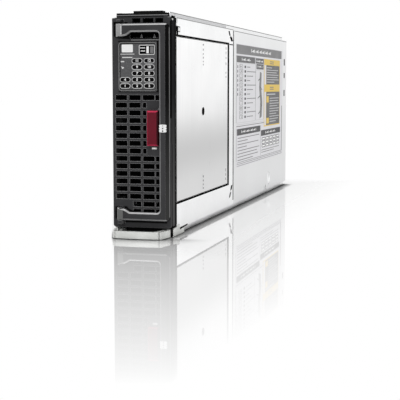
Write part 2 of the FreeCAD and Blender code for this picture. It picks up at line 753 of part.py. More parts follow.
def drive_carrier(x, y):
    """Carrier round three sides of a drive: two rails and a vented grip on top."""
    width = DRIVE[0] - CARRIER_SIDE_GAP
    inner = DRIVE[1] / 2 + 0.25
    outer = inner + CARRIER_RAIL
    top = DRIVE_LOW + DRIVE[2] + 0.25
    high = top + CARRIER_GRIP
    outline = [(-outer, DRIVE_LOW), (-inner, DRIVE_LOW), (-inner, top), (inner, top), (inner, DRIVE_LOW),
               (outer, DRIVE_LOW), (outer, high - 4), (outer - 4, high), (-outer + 4, high),
               (-outer, high - 4)]
    frame = along_x([(y + side, z) for side, z in outline], x - width / 2, x + width / 2)
    grip = block(x - width, x + width, y - 26, y + 18, top + 3, high - 4.5)
    vents = [block(x - 4.2, x + 4.2, y - 30 + 9 * i, y - 24 + 9 * i, high - 2.2, high + 1)
             for i in range(5)]
    return cut(frame, grip, *vents)


def drive_carriers():
    """All drive carriers."""
    return Part.Compound([drive_carrier(x, y) for x, y in drive_places()])


# Bezel

def bezel_outline(inset, ridge_end=RIDGE_RIGHT):
    """Front outline of the bezel, stepped at the top like the chassis, moved in by an inset."""
    left = BEZEL_LEFT + inset
    right = BEZEL_RIGHT - inset
    low = BEZEL_LOW + inset
    shoulder = BEZEL_SHOULDER - inset
    ridge = BEZEL_RIDGE - inset
    ridge_left = BEZEL_RIDGE_LEFT + inset
    ridge_right = ridge_end - inset
    return [(left, low), (right, low), (right, shoulder), (ridge_right, shoulder), (ridge_right, ridge),
            (ridge_left, ridge), (ridge_left, shoulder), (left, shoulder - BEZEL_CHAMFER)]


def grille_columns(row):
    """Spans across the blade of the openings in one row of the grille."""
    width = GRILLE_OPENING[0]
    height = GRILLE_TOP - row * GRILLE_PITCH
    spans = []
    for column in range(GRILLE_COLUMNS):
        x = (column - (GRILLE_COLUMNS - 1) / 2) * GRILLE_COLUMN_PITCH
        left, right = x - width / 2, x + width / 2
        if column == GRILLE_COLUMNS - 1:
            left -= GRILLE_LAST_GROWTH
        field_left, field_right, field_low, field_high = LATCH_FIELD
        if field_low < height < field_high and right > field_left and left < field_right:
            right = field_left
        if height < HANDLE_LOW + KNUCKLE_LENGTH + GRILLE_PITCH:
            left = max(left, GRILLE_FOOT_LEFT)
        if right - left > 1.0:
            spans.append((left, right))
    return spans


def top_gap():
    """Opening above the status plate, less the two ribs that stand in it."""
    left, right, low, high = TOP_GAP
    half, rise, setback = TOP_RIB
    ribs = [along_y([(x - half, low - 1), (x + half, low - 1), (x + half, low), (x, low + rise),
                     (x - half, low)], setback, BEZEL_SKIN) for x in TOP_RIBS]
    return cut(block(left, right, -1, BEZEL_SKIN + 1, low, high), *ribs)


def grille_openings():
    """All openings of the grille, with the gap and vents above the status plate."""
    openings = []
    deep = BEZEL_SKIN + 1
    for row in range(GRILLE_ROWS):
        middle = GRILLE_TOP - row * GRILLE_PITCH
        low, high = middle - GRILLE_OPENING[1] / 2, middle + GRILLE_OPENING[1] / 2
        openings += [block(left, right, -1, deep, low, high) for left, right in grille_columns(row)]
    low, high = TOP_VENTS
    openings += [block(left, right, -1, deep, low, high) for left, right in TOP_VENT_SPANS]
    openings.append(top_gap())
    return openings


def knuckle_rod(radius, low, high):
    """Round bar on the handle's hinge line."""
    return rod(radius, (KNUCKLE_X, KNUCKLE_Y, low), (KNUCKLE_X, KNUCKLE_Y, high))


def knuckle_spans():
    """Heights of the handle's upper and lower knuckles."""
    return ((HANDLE_HIGH - KNUCKLE_LENGTH, HANDLE_HIGH), (HANDLE_LOW, HANDLE_LOW + KNUCKLE_LENGTH))


def ear_spans():
    """Heights of the bezel's ears, outside the two knuckles."""
    return ((HANDLE_HIGH + RUN_GAP, HANDLE_HIGH + RUN_GAP + EAR_LENGTH),
            (HANDLE_LOW - RUN_GAP - EAR_LENGTH, HANDLE_LOW - RUN_GAP))


def boss_places():
    """Places of the screw bosses behind the bezel."""
    high = DRAWER_HIGH - BOSS_INSET
    low = DRAWER_LOW + BOSS_INSET
    return [(side * BOSS_HALF, z) for side in (-1, 1) for z in (low, (low + high) / 2, high)]


def bezel():
    """Moulded front: shelled body with the grille, status recess, latch field and hinge ears."""
    body = fuse(along_y(bezel_outline(0), 0, BEZEL_DEPTH),
                along_y(bezel_outline(0, BEZEL_RIDGE_RIGHT), 0, BEZEL_RIDGE_PLATE))
    feet = edges_along(body, Vector(0, 1, 0), lambda m: m.z < BEZEL_LOW + 0.1)
    body = body.makeFillet(BEZEL_FOOT_ROUND, feet)
    body = body.makeFillet(BEZEL_ROUND, edges_in_front(body, 0))
    inside = along_y(bezel_outline(BEZEL_WALL), BEZEL_SKIN, BEZEL_DEPTH + 1)
    shell = cut(body, inside)
    bosses = [rod(BEZEL_BOSS_RADIUS, (x, BEZEL_SKIN / 2, z), (x, PLATE_FACE, z)) for x, z in boss_places()]
    x0, x1, z0, z1 = PLATE
    inset = STATUS_POST + RUN_GAP
    posts = [rod(STATUS_POST, (x, BEZEL_SKIN / 2, z), (x, STATUS_BOARD_AT, z))
             for x in (x0 + inset, x1 - inset) for z in (z0 + inset, z1 - inset)]
    ears = []
    for low, high in ear_spans():
        arm = block(KNUCKLE_X - KNUCKLE_RADIUS, KNUCKLE_X + KNUCKLE_RADIUS, KNUCKLE_Y, BEZEL_SKIN / 2,
                    low, high)
        ears += [knuckle_rod(KNUCKLE_RADIUS, low, high), arm]
    whole = fuse(shell, *bosses, *posts, *ears)
    pockets = [knuckle_rod(KNUCKLE_RADIUS + RUN_GAP, low - RUN_GAP, high + RUN_GAP)
               for low, high in knuckle_spans()]
    holes = [knuckle_rod(HANDLE_PIN, low - 1, high + 1) for low, high in ear_spans()]
    plate_room = rounded_block(x0, x1, -1, PLATE_DEPTH, z0, z1, PLATE_ROUND)
    pipes = [light_pipe(x, z, 0, BEZEL_SKIN + 1, PIN_FIT) for x, z in window_places()]
    lx0, lx1, lz0, lz1 = LATCH
    latch_room = block(lx0 - RUN_GAP, lx1 + RUN_GAP, -1, BEZEL_SKIN + 1, lz0 - RUN_GAP, lz1 + RUN_GAP)
    return cut(whole, plate_room, latch_room, *pockets, *holes, *pipes, *grille_openings())


def bezel_gasket():
    """Black sealing ring between the bezel's rim and the sheet metal."""
    back = METAL_FRONT - RUN_GAP
    ring = along_y(bezel_outline(BEZEL_WALL * 0.1), BEZEL_DEPTH, back)
    room = along_y(bezel_outline(GASKET_LIP), BEZEL_DEPTH - 1, back + 1)
    return cut(ring, room)


def ridge_seal():
    """Black foam strip along the top of the bezel, with a thicker pad on it."""
    front, rise = RIDGE_SEAL
    strip = block(BEZEL_RIDGE_LEFT, BEZEL_RIDGE_RIGHT, front, BEZEL_RIDGE_PLATE,
                  BEZEL_RIDGE, BEZEL_RIDGE + rise)
    left, right, back, height = RIDGE_PAD
    return fuse(strip, block(left, right, front, back, BEZEL_RIDGE, BEZEL_RIDGE + height))


def window_places():
    """Places of the numbered windows: two full rows, then three rows without the left one."""
    return [(x, WINDOW_LOWEST + row * WINDOW_PITCH) for row in range(WINDOW_ROWS)
            for x in (WINDOW_COLUMNS if row < FULL_WINDOW_ROWS else WINDOW_COLUMNS[1:])]


def status_plate():
    """Dark lens let into the bezel, over all the lights."""
    x0, x1, z0, z1 = PLATE
    gap = RUN_GAP / 2
    return rounded_block(x0 + gap, x1 - gap, PLATE_DEPTH - PLATE_SHEET, PLATE_DEPTH, z0 + gap, z1 - gap,
                         PLATE_ROUND - gap)


def light_pipe(x, z, y0, y1, gap):
    """Light pipe between the lens and the status board, or its hole when given a gap."""
    half_width = PIPE[0] / 2 + gap
    half_height = PIPE[1] / 2 + gap
    return block(x - half_width, x + half_width, y0, y1, z - half_height, z + half_height)


def light_pipes():
    """Light pipes for all drives."""
    return Part.Compound([light_pipe(x, z, PLATE_DEPTH, STATUS_BOARD_AT, 0) for x, z in window_places()])


def status_board():
    """Small circuit board behind the status plate."""
    x0, x1, z0, z1 = PLATE
    return block(x0 + 0.4, x1 - 0.4, STATUS_BOARD_AT, STATUS_BOARD_AT + BOARD, z0, z1)


# Drawer handle and latch

def drawer_handle():
    """C-shaped handle: a broad grip strip and two bars that end in hinge knuckles."""
    right = HANDLE_RIGHT
    inner = right - HANDLE_STRIP
    low, high = HANDLE_LOW, HANDLE_HIGH
    low_in, high_in = low + HANDLE_BAR, high - HANDLE_BAR
    upper_end, lower_end = high - KNUCKLE_LENGTH, low + KNUCKLE_LENGTH
    outline = [(KNUCKLE_X, low), (right, low), (right, high), (KNUCKLE_X, high), (KNUCKLE_X, upper_end),
               (UPPER_KNEE[0], upper_end + UPPER_KNEE[1]), (UPPER_KNEE[2], high_in), (inner, high_in),
               (inner, low_in), (LOWER_KNEE[2], low_in), (LOWER_KNEE[0], lower_end - LOWER_KNEE[1]),
               (KNUCKLE_X, lower_end)]
    body = along_y(outline, HANDLE_FRONT, HANDLE_BACK)
    grip = Vector(0, 1, 0)
    body = body.makeFillet(HANDLE_OUTER_ROUND, edges_along(body, grip, lambda m: m.x > right - 0.1))
    body = body.makeFillet(HANDLE_INNER_ROUND, edges_along(body, grip, lambda m: abs(m.x - inner) < 0.1))
    front = [edge for edge in edges_in_front(body, HANDLE_FRONT) if edge.CenterOfMass.x > KNUCKLE_X + 1]
    body = body.makeChamfer(HANDLE_EDGE, front)
    face = HANDLE_FRONT - 1
    slant = along_z([(right - HANDLE_SLANT - 1, face), (right + 1, face),
                     (right + 1, face + HANDLE_SLANT + 2)], low - 1, high + 1)
    body = cut(body, slant)
    knuckles = [knuckle_rod(KNUCKLE_RADIUS, z0, z1) for z0, z1 in knuckle_spans()]
    bores = [knuckle_rod(HANDLE_PIN + PIN_FIT, z0 - 1, z1 + 1) for z0, z1 in knuckle_spans()]
    return cut(fuse(body, *knuckles), *bores)


def handle_pins():
    """Two pins that hang the handle on the bezel's ears."""
    spans = zip(knuckle_spans(), ear_spans())
    return Part.Compound([knuckle_rod(HANDLE_PIN, min(k[0], e[0]), max(k[1], e[1])) for k, e in spans])


def latch_button():
    """Button that frees the handle: a bevelled pad with a lip behind the bezel's skin."""
    x0, x1, z0, z1 = LATCH
    pad = block(x0, x1, HANDLE_FRONT, LATCH_BACK, z0, z1)
    pad = pad.makeChamfer(LATCH_EDGE, edges_in_front(pad, HANDLE_FRONT))
    y = BEZEL_SKIN + RUN_GAP
    lip = block(x0 - LATCH_LIP, x1 + LATCH_LIP, y, y + LATCH_LIP_DEPTH, z0 + 2, z1 - 2)
    hollow = block(x0 + 1.5, x1 - 1.5, HANDLE_FRONT + 2.5, LATCH_BACK + 1, z0 + 1.5, z0 + 8)
    other = block(x0 + 1.5, x1 - 1.5, HANDLE_FRONT + 2.5, LATCH_BACK + 1, z1 - 8, z1 - 1.5)
    return cut(fuse(pad, lip), hollow, other)


def latch_spring():
    """Bowed leaf spring between the latch button and the drawer's front plate."""
    x = (LATCH[0] + LATCH[1]) / 2
    z = (LATCH[2] + LATCH[3]) / 2
    reach = PLATE_FACE - LATCH_BACK
    half = 9.0
    t = 0.5
    ends = [Vector(x - 3, PLATE_FACE, z - half), Vector(x - 3, PLATE_FACE, z + half)]
    crown = Vector(x - 3, LATCH_BACK, z)
    outer = Part.Arc(ends[0], crown, ends[1]).toShape()
    shift = Vector(0, t, 0)
    inner_ends = [Vector(x - 3, PLATE_FACE, z - half + 2 * t * half / reach),
                  Vector(x - 3, PLATE_FACE, z + half - 2 * t * half / reach)]
    inner = Part.Arc(inner_ends[1], crown + shift, inner_ends[0]).toShape()
    sides = [Part.makeLine(ends[1], inner_ends[1]), Part.makeLine(inner_ends[0], ends[0])]
    return Part.Face(Part.Wire([outer, sides[0], inner, sides[1]])).extrude(Vector(6, 0, 0))


# Release lever

def mirrored(points):
    """The same (x, y) points on the other side of the blade, in reverse order."""
    return [(-x, y) for x, y in reversed(points)]


def flank_outline(half):
    """Plan of the lever's slanting side piece, on the right, from its front corner."""
    front = -LEVER_REACH + LIP_BOW
    return [(half, front), (half + 1.2, front + 0.4), (FLANK_HALF, FLANK_BACK),
            (FLANK_HALF - FLANK_WALL, FLANK_BACK), (half - 0.3, front + LEVER_WALL + RUN_GAP),
            (half, front + LEVER_WALL + RUN_GAP)]


def lever_arm():
    """Plan of the lever's arm on the right, from the lip back to the pivot."""
    front = -LEVER_REACH + LIP_BOW + 1
    half = LIP_HALF - ARM_INSET
    back_half = FLANK_HALF - ARM_INSET
    return [(half, front), (back_half, FLANK_BACK), (back_half, PIVOT_Y), (back_half - ARM_WALL, PIVOT_Y),
            (back_half - ARM_WALL, FLANK_BACK), (half - ARM_WALL, front)]


def lip():
    """Bowed front lip of the lever."""
    front = -LEVER_REACH + LIP_BOW
    middle = (LIP_HALF - LIP_LEFT) / 2
    outer = Part.Arc(Vector(-LIP_LEFT, front, LEVER_LOW), Vector(middle, -LEVER_REACH, LEVER_LOW),
                     Vector(LIP_HALF, front, LEVER_LOW)).toShape()
    back = front + LEVER_WALL
    corners = [Vector(LIP_HALF, front, LEVER_LOW), Vector(LIP_HALF, back, LEVER_LOW),
               Vector(-LIP_LEFT, back, LEVER_LOW), Vector(-LIP_LEFT, front, LEVER_LOW)]
    sides = [Part.makeLine(a, b) for a, b in zip(corners, corners[1:])]
    bar = Part.Face(Part.Wire([outer] + sides)).extrude(Vector(0, 0, LEVER_HIGH - LEVER_LOW))
    rounded = edges_along(bar, Vector(0, 0, 1), lambda m: m.y < front + 0.1)
    return bar.makeFillet(0.8, rounded)


def button_stem(radius, y0, y1):
    """Round bar on the line that the lever's button slides along."""
    x = FLANK_HALF - ARM_INSET + STEM_RADIUS + RUN_GAP
    return rod(radius, (x, y0, PIVOT_Z), (x, y1, PIVOT_Z))


def release_lever():
    """Lever that draws the blade out: lip, left flank, two arms and their pivot bosses."""
    arms = []
    for points in (lever_arm(), mirrored(lever_arm())):
        arms.append(along_z(points, LEVER_LOW + 0.4, LEVER_HIGH - 0.4))
    boss_in = FLANK_HALF - ARM_INSET - ARM_WALL
    boss_out = HALF - FOOT_WIDTH - RUN_GAP
    bosses = [rod(PIVOT_RADIUS, (side * boss_in, PIVOT_Y, PIVOT_Z), (side * boss_out, PIVOT_Y, PIVOT_Z))
              for side in (-1, 1)]
    left_flank = along_z(mirrored(flank_outline(LIP_LEFT + RUN_GAP)), LEVER_LOW, LEVER_HIGH)
    joint = block(-LIP_LEFT - 2, -LIP_LEFT + 2, -LEVER_REACH + LIP_BOW + 0.6,
                  -LEVER_REACH + LIP_BOW + LEVER_WALL, LEVER_LOW + 0.4, LEVER_HIGH - 0.4)
    lug = block(FLANK_HALF - ARM_INSET - ARM_WALL, boss_out, LUG_FRONT, LUG_FRONT + LUG_LENGTH,
                LEVER_LOW + 0.4, LEVER_HIGH - 0.4)
    whole = fuse(lip(), left_flank, joint, lug, *arms, *bosses)
    bores = [rod(PIVOT_PIN + PIN_FIT, (side * (boss_in - 1), PIVOT_Y, PIVOT_Z),
                 (side * (boss_out + 1), PIVOT_Y, PIVOT_Z)) for side in (-1, 1)]
    stem_hole = button_stem(STEM_RADIUS + PIN_FIT, LUG_FRONT - 1, LUG_FRONT + LUG_LENGTH + 1)
    return cut(whole, stem_hole, *bores)


def lever_web():
    """Dark moulded tray between the lever's arms, under the finger gap."""
    front = -LEVER_REACH + LIP_BOW + LEVER_WALL
    half = LIP_HALF - ARM_INSET - ARM_WALL
    back_half = FLANK_HALF - ARM_INSET - ARM_WALL
    outline = [(half, front), (back_half, FLANK_BACK), (back_half, WEB_BACK)]
    low = LEVER_LOW + WEB_LIFT
    tray = along_z(outline + mirrored(outline), low, low + WEB_SHEET)
    rib = block(-back_half, back_half, WEB_BACK - WEB_SHEET, WEB_BACK, low, LEVER_HIGH - WEB_LIFT)
    return fuse(tray, rib)


def lever_button():
    """Right flank of the lever, pressed towards the rear to free it, with its guide stem."""
    pad = along_z(flank_outline(LIP_HALF + BUTTON_GAP), LEVER_LOW, LEVER_HIGH)
    inner = FLANK_HALF - ARM_INSET + RUN_GAP
    bridge = block(inner, FLANK_HALF - FLANK_WALL, FLANK_BACK - LUG_LENGTH, FLANK_BACK,
                   PIVOT_Z - STEM_RADIUS, PIVOT_Z + STEM_RADIUS)
    stem = button_stem(STEM_RADIUS, FLANK_BACK - LUG_LENGTH, LUG_FRONT + LUG_LENGTH + 1)
    return fuse(pad, bridge, stem)


def lever_foot(side):
    """Cast foot at a lower front corner that carries the lever's pivot pin."""
    inner = side * (HALF - FOOT_WIDTH)
    outer = side * HALF
    rise = METAL_FRONT + RUN_GAP
    outline = [(FOOT_FRONT, 0), (FOOT_BACK, 0), (FOOT_BACK, RAIL_RISE - RUN_GAP),
               (FOOT_STEP, RAIL_RISE - RUN_GAP), (FOOT_STEP, FOOT_HIGH), (rise, FOOT_HIGH),
               (rise, FOOT_NOSE_HIGH), (FOOT_FRONT, FOOT_NOSE_HIGH)]
    body = along_x(outline, min(inner, outer), max(inner, outer))
    nose = edges_along(body, Vector(1, 0, 0), lambda m: m.y < FOOT_FRONT + 0.1 and m.z > 1)
    body = body.makeFillet(FOOT_NOSE_ROUND, nose)
    hole = rod(PIVOT_PIN, (inner - side, PIVOT_Y, PIVOT_Z), (outer - side * 0.8, PIVOT_Y, PIVOT_Z))
    return cut(body, hole)


def lever_pins():
    """Two pins that the lever turns on."""
    boss_in = FLANK_HALF - ARM_INSET - ARM_WALL
    return Part.Compound([rod(PIVOT_PIN, (side * boss_in, PIVOT_Y, PIVOT_Z),
                              (side * (HALF - 0.8), PIVOT_Y, PIVOT_Z)) for side in (-1, 1)])


# Access cover

def access_cover():
    """Flat cover over the controller, with hooks that run in the chassis flanges."""
    face = HALF - COVER_SHEET
    plate = block(face, HALF, SEAM + SEAM_GAP, BACK, RAIL_RISE, SHOULDER)
    latch_y, latch_z = COVER_LATCH_AT
    hole = rod(COVER_LATCH_RADIUS + RUN_GAP, (face - 1, latch_y, latch_z), (HALF + 1, latch_y, latch_z))
    notch_y, notch_width, notch_height = COVER_NOTCH
    notch = block(face - 1, HALF + 1, notch_y, notch_y + notch_width,
                  RAIL_RISE - 1, RAIL_RISE + notch_height)
    slots = [block(face - 1, HALF + 1, COVER_SLOT_AT - COVER_SLOT[0] / 2, COVER_SLOT_AT + COVER_SLOT[0] / 2,
                   z - COVER_SLOT[1] / 2, z + COVER_SLOT[1] / 2) for z in COVER_SLOT_HEIGHTS]
    hooks = []
    back_face = FLANGE_FACE - SHEET - RUN_GAP
    for y in HOOK_PLACES:
        for z in hook_heights():
            low, high = z - HOOK_WIDTH / 4, z + HOOK_WIDTH / 4
            hooks.append(block(back_face - COVER_SHEET, face, y, y + 2, low, high))
            hooks.append(block(back_face - COVER_SHEET, back_face, y - HOOK_TOE, y, low, high))
    return cut(fuse(plate, *hooks), hole, notch, *slots)


def cover_latch():
    """Round dished button in the access cover."""
    y, z = COVER_LATCH_AT
    back = RUNNER_SIDE + RUN_GAP + COVER_LATCH_TRAVEL
    disc = rod(COVER_LATCH_RADIUS, (back, y, z), (HALF - COVER_LATCH_SINK, y, z))
    rim = [edge for edge in disc.Edges if edge.BoundBox.XMin > HALF - 0.2]
    disc = disc.makeChamfer(COVER_LATCH_EDGE, rim)
    dish = rod(COVER_LATCH_RADIUS - COVER_LATCH_RIM, (HALF - COVER_LATCH_EDGE, y, z), (HALF + 1, y, z))
    return cut(disc, dish)


def nodes():
    """Every node of the assembly by name."""
    parts = {
        "chassis_shell": chassis_shell(),
        "side_frame": side_frame(),
        "rear_panel": rear_panel(),
        "bay_floor": bay_floor(),
        "board_tray": board_tray(),
        "signal_plug": signal_plug(),
        "power_plug": power_plug(),
        "board_standoffs": board_standoffs(),
        "controller_board": controller_board(),
        "controller_heat_sink": controller_heat_sink(),
        "expander_heat_sink": expander_heat_sink(),
        "cache_socket": cache_socket(),
        "cache_module": cache_module(),
        "capacitor_pack": capacitor_pack(),
        "drawer_tray": drawer_tray(),
        "drawer_side_panel": drawer_side_panel(),
        "drawer_front_plate": drawer_front_plate(),
        "bay_dividers": bay_dividers(),
        "drive_backplane": drive_backplane(),
        "backplane_standoffs": backplane_standoffs(),
        "drive_sockets": drive_sockets(),
        "drive_carriers": drive_carriers(),
        "bezel": bezel(),
        "bezel_gasket": bezel_gasket(),
        "ridge_seal": ridge_seal(),
        "status_plate": status_plate(),
        "light_pipes": light_pipes(),
        "status_board": status_board(),
        "drawer_handle": drawer_handle(),
        "handle_pins": handle_pins(),
        "latch_button": latch_button(),
        "latch_spring": latch_spring(),
        "release_lever": release_lever(),
        "lever_web": lever_web(),
        "lever_button": lever_button(),
        "lever_pins": lever_pins(),
        "access_cover": access_cover(),
        "cover_latch": cover_latch(),
    }
    for name, side in (("left", -1), ("right", 1)):
        parts["runner_outer_" + name] = runner_outer(side)
        parts["runner_middle_" + name] = runner_middle(side)
        parts["runner_inner_" + name] = runner_inner(side)
        parts["lever_foot_" + name] = lever_foot(side)
    for number, (x, y) in enumerate(drive_places(), 1):
        parts["disk_drive_%02d" % number] = disk_drive(x, y)
    return parts


os.makedirs("parts", exist_ok=True)
for node, shape in nodes().items():
    shape.translate(Vector(0, FRONT, 0))
    shape.exportStep("parts/%s.step" % node)
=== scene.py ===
"""Looks of a storage blade: finishes for its solids, printed marks, small fittings and a studio.

Sizes are millimetres in the blade's own axes: x across, y back from the bezel's face, z up. Only the floor
and the lamps are given in metres.
"""

import logging
import math
from dataclasses import dataclass, field
from enum import Enum
from typing import Sequence

import bmesh
import bpy
from bpy.types import Material, Node, NodeSocket, NodeTree, Object
from mathutils import Matrix, Vector


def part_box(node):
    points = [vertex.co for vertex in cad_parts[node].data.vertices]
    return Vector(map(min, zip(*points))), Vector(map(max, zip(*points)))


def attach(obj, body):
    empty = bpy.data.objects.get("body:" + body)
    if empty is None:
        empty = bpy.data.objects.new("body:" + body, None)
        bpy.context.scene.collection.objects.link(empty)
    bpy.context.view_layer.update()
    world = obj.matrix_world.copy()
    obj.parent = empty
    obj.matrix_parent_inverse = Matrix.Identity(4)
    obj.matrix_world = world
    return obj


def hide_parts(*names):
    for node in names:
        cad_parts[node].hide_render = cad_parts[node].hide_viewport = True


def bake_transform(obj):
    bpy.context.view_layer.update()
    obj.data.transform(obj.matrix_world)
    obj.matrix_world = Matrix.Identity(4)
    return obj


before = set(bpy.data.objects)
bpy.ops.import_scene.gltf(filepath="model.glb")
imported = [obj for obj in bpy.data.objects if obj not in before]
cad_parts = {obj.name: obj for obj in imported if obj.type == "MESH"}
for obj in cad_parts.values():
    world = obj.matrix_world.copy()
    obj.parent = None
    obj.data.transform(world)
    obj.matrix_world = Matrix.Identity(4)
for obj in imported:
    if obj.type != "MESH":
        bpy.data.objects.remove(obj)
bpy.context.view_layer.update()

LOG = logging.getLogger("storage_blade")
Colour = tuple[float, float, float]
Point = tuple[float, float]
Span = tuple[float, float]
Box = tuple[Span, Span]

MM = 0.001
BEZEL_FACE = -237.0
WHITE = (1.0, 1.0, 1.0, 1.0)
# Range that most of a cloudy pattern lies in
CLOUD = (0.3, 0.7)
# Results that climb and fall over the range they are read from
RISE = (0.0, 1.0)
FALL = (1.0, 0.0)


class Face(Enum):
    """Sides of the blade that flat pieces lie on, each with its own right and up directions."""

    FRONT = ((1, 0, 0), (0, 0, 1))
    RIGHT = ((0, 1, 0), (0, 0, 1))
    REAR = ((-1, 0, 0), (0, 0, 1))
    LEFT = ((0, -1, 0), (0, 0, 1))
    TOP = ((1, 0, 0), (0, 1, 0))

    def placing(self, level: float) -> Matrix:
        """Transform from millimetres on this side to metres in the model's axes.

        Args:
            level: Distance of the plane along its outward direction, in millimetres.

        Returns:
            Matrix that carries right, up and out onto the blade.
        """
        right = Vector(self.value[0])
        up = Vector(self.value[1])
        out = right.cross(up)
        origin = out * level + Vector((0, BEZEL_FACE, 0))
        turn = Matrix((right, up, out)).transposed().to_4x4()
        return Matrix.Scale(MM, 4) @ Matrix.Translation(origin) @ turn


class Grain(Enum):
    """Ways that a metal's surface lines run, as a stretch of its pattern."""

    PLAIN = (1.0, 1.0, 1.0)
    UPRIGHT = (1.0, 1.0, 0.012)
    LENGTHWISE = (1.0, 0.012, 1.0)


def shade(colour: Colour, factor: float) -> Colour:
    """Colour made darker or lighter by a factor."""
    return tuple(min(channel * factor, 1.0) for channel in colour)


class Graph:
    """Node graph of one finish, which ends in a principled shader."""

    def __init__(self, name: str) -> None:
        """Starts an empty graph with its shader joined to the output.

        Args:
            name: Name of the material.
        """
        self.material = bpy.data.materials.new(name)
        self.material.use_nodes = True
        self.tree = self.material.node_tree
        self.tree.nodes.clear()
        self.output = self.add("ShaderNodeOutputMaterial")
        self.shader = self.add("ShaderNodeBsdfPrincipled")
        self.join(self.shader.outputs[0], self.output.inputs["Surface"])

    def add(self, kind: str, **settings: object) -> Node:
        """Adds a node and sets its options.

        Args:
            kind: Kind of node.
            **settings: The node's options by name.

        Returns:
            The new node.
        """
        node = self.tree.nodes.new(kind)
        for name, setting in settings.items():
            setattr(node, name, setting)
        return node

    def join(self, source: NodeSocket, target: NodeSocket) -> None:
        """Links two sockets."""
        self.tree.links.new(source, target)

    def fix(self, **numbers: float) -> None:
        """Sets the shader's own sockets, with underscores for the spaces in their names."""
        for name, number in numbers.items():
            self.shader.inputs[name.replace("_", " ")].default_value = number

    def place(self, stretch: Sequence[float] = (1, 1, 1)) -> NodeSocket:
        """Object coordinates, stretched.

        Args:
            stretch: Scale along each axis.

        Returns:
            Socket of the stretched coordinates.
        """
        mapping = self.add("ShaderNodeMapping")
        mapping.inputs["Scale"].default_value = stretch
        self.join(self.add("ShaderNodeTexCoord").outputs["Object"], mapping.inputs["Vector"])
        return mapping.outputs["Vector"]

    def parts(self, vector: NodeSocket) -> dict[str, NodeSocket]:
        """The three parts of a vector.

        Args:
            vector: Vector to take apart.

        Returns:
            Sockets by their letters, X, Y and Z.
        """
        node = self.add("ShaderNodeSeparateXYZ")
        self.join(vector, node.inputs[0])
        return {socket.name: socket for socket in node.outputs}

    def facing(self) -> dict[str, NodeSocket]:
        """Direction that the face looks in, in the model's own axes, by its three parts."""
        return self.parts(self.add("ShaderNodeTexCoord").outputs["Normal"])

    def noise(self, vector: NodeSocket, scale: float, detail: float = 3.0,
              rough: float = 0.55) -> NodeSocket:
        """Cloudy pattern.

        Args:
            vector: Coordinates that it lies on.
            scale: Repeats per metre.
            detail: Number of finer layers.
            rough: Strength of the finer layers.

        Returns:
            Socket of the pattern.
        """
        node = self.add("ShaderNodeTexNoise")
        self.join(vector, node.inputs["Vector"])
        node.inputs["Scale"].default_value = scale
        node.inputs["Detail"].default_value = detail
        node.inputs["Roughness"].default_value = rough
        return node.outputs[0]

    def cells(self, vector: NodeSocket, scale: float, feature: str = "F1") -> NodeSocket:
        """Pattern of small cells.

        Args:
            vector: Coordinates that it lies on.
            scale: Cells per metre.
            feature: Distance that is measured, to a cell's point or to its edge.

        Returns:
            Socket of the distance.
        """
        node = self.add("ShaderNodeTexVoronoi", feature=feature)
        self.join(vector, node.inputs["Vector"])
        node.inputs["Scale"].default_value = scale
        return node.outputs["Distance"]

    def spread(self, source: NodeSocket, taken: Span, given: Span) -> NodeSocket:
        """Carries one range of a value onto another, and stops at its ends.

        Args:
            source: Value to carry over.
            taken: Range that is read.
            given: Results at the two ends of that range.

        Returns:
            Socket of the result.
        """
        node = self.add("ShaderNodeMapRange")
        self.join(source, node.inputs["Value"])
        for name, number in zip(("From Min", "From Max", "To Min", "To Max"), taken + given):
            node.inputs[name].default_value = number
        return node.outputs["Result"]

    def reach(self, axis: str, start: float, end: float) -> NodeSocket:
        """Value that climbs from 0 to 1 between two places along an axis, in millimetres."""
        return self.spread(self.parts(self.place())[axis], (start * MM, end * MM), RISE)

    def tint(self, factor: NodeSocket, first: Colour | NodeSocket,
             second: Colour | NodeSocket) -> NodeSocket:
        """Colour between two colours.

        Args:
            factor: Share of the second colour.
            first: Colour where the factor is 0.
            second: Colour where the factor is 1.

        Returns:
            Socket of the mixed colour.
        """
        node = self.add("ShaderNodeMix", data_type="RGBA")
        self.join(factor, node.inputs[0])
        for socket, colour in ((node.inputs[6], first), (node.inputs[7], second)):
            if isinstance(colour, NodeSocket):
                self.join(colour, socket)
            else:
                socket.default_value = (*colour, 1.0)
        return node.outputs[2]

    def mottle(self, pattern: NodeSocket, colour: Colour, low: float, high: float,
               taken: Span = CLOUD) -> NodeSocket:
        """Colour that a pattern makes darker and lighter, between two factors."""
        return self.tint(self.spread(pattern, taken, RISE), shade(colour, low), shade(colour, high))

    def ramp(self, axis: str, stops: Sequence[Span]) -> NodeSocket:
        """Grey that changes along an axis.

        Args:
            axis: Letter of the axis.
            stops: Places in millimetres, each with the grey there.

        Returns:
            Socket of the grey.
        """
        first, last = stops[0][0], stops[-1][0]
        node = self.add("ShaderNodeValToRGB")
        self.join(self.reach(axis, first, last), node.inputs[0])
        node.color_ramp.interpolation = "B_SPLINE"
        elements = node.color_ramp.elements
        for place, grey in stops[1:-1]:
            elements.new((place - first) / (last - first)).color = (grey, grey, grey, 1.0)
        for element, (_, grey) in ((elements[0], stops[0]), (elements[-1], stops[-1])):
            element.color = (grey, grey, grey, 1.0)
        return node.outputs["Color"]

    def dim(self, colour: NodeSocket, grey: NodeSocket) -> NodeSocket:
        """Colour made darker by a grey.

        Args:
            colour: Colour to darken.
            grey: Share of it that is left.

        Returns:
            Socket of the darker colour.
        """
        node = self.add("ShaderNodeMix", data_type="RGBA", blend_type="MULTIPLY")
        node.inputs[0].default_value = 1.0
        self.join(colour, node.inputs[6])
        self.join(grey, node.inputs[7])
        return node.outputs[2]

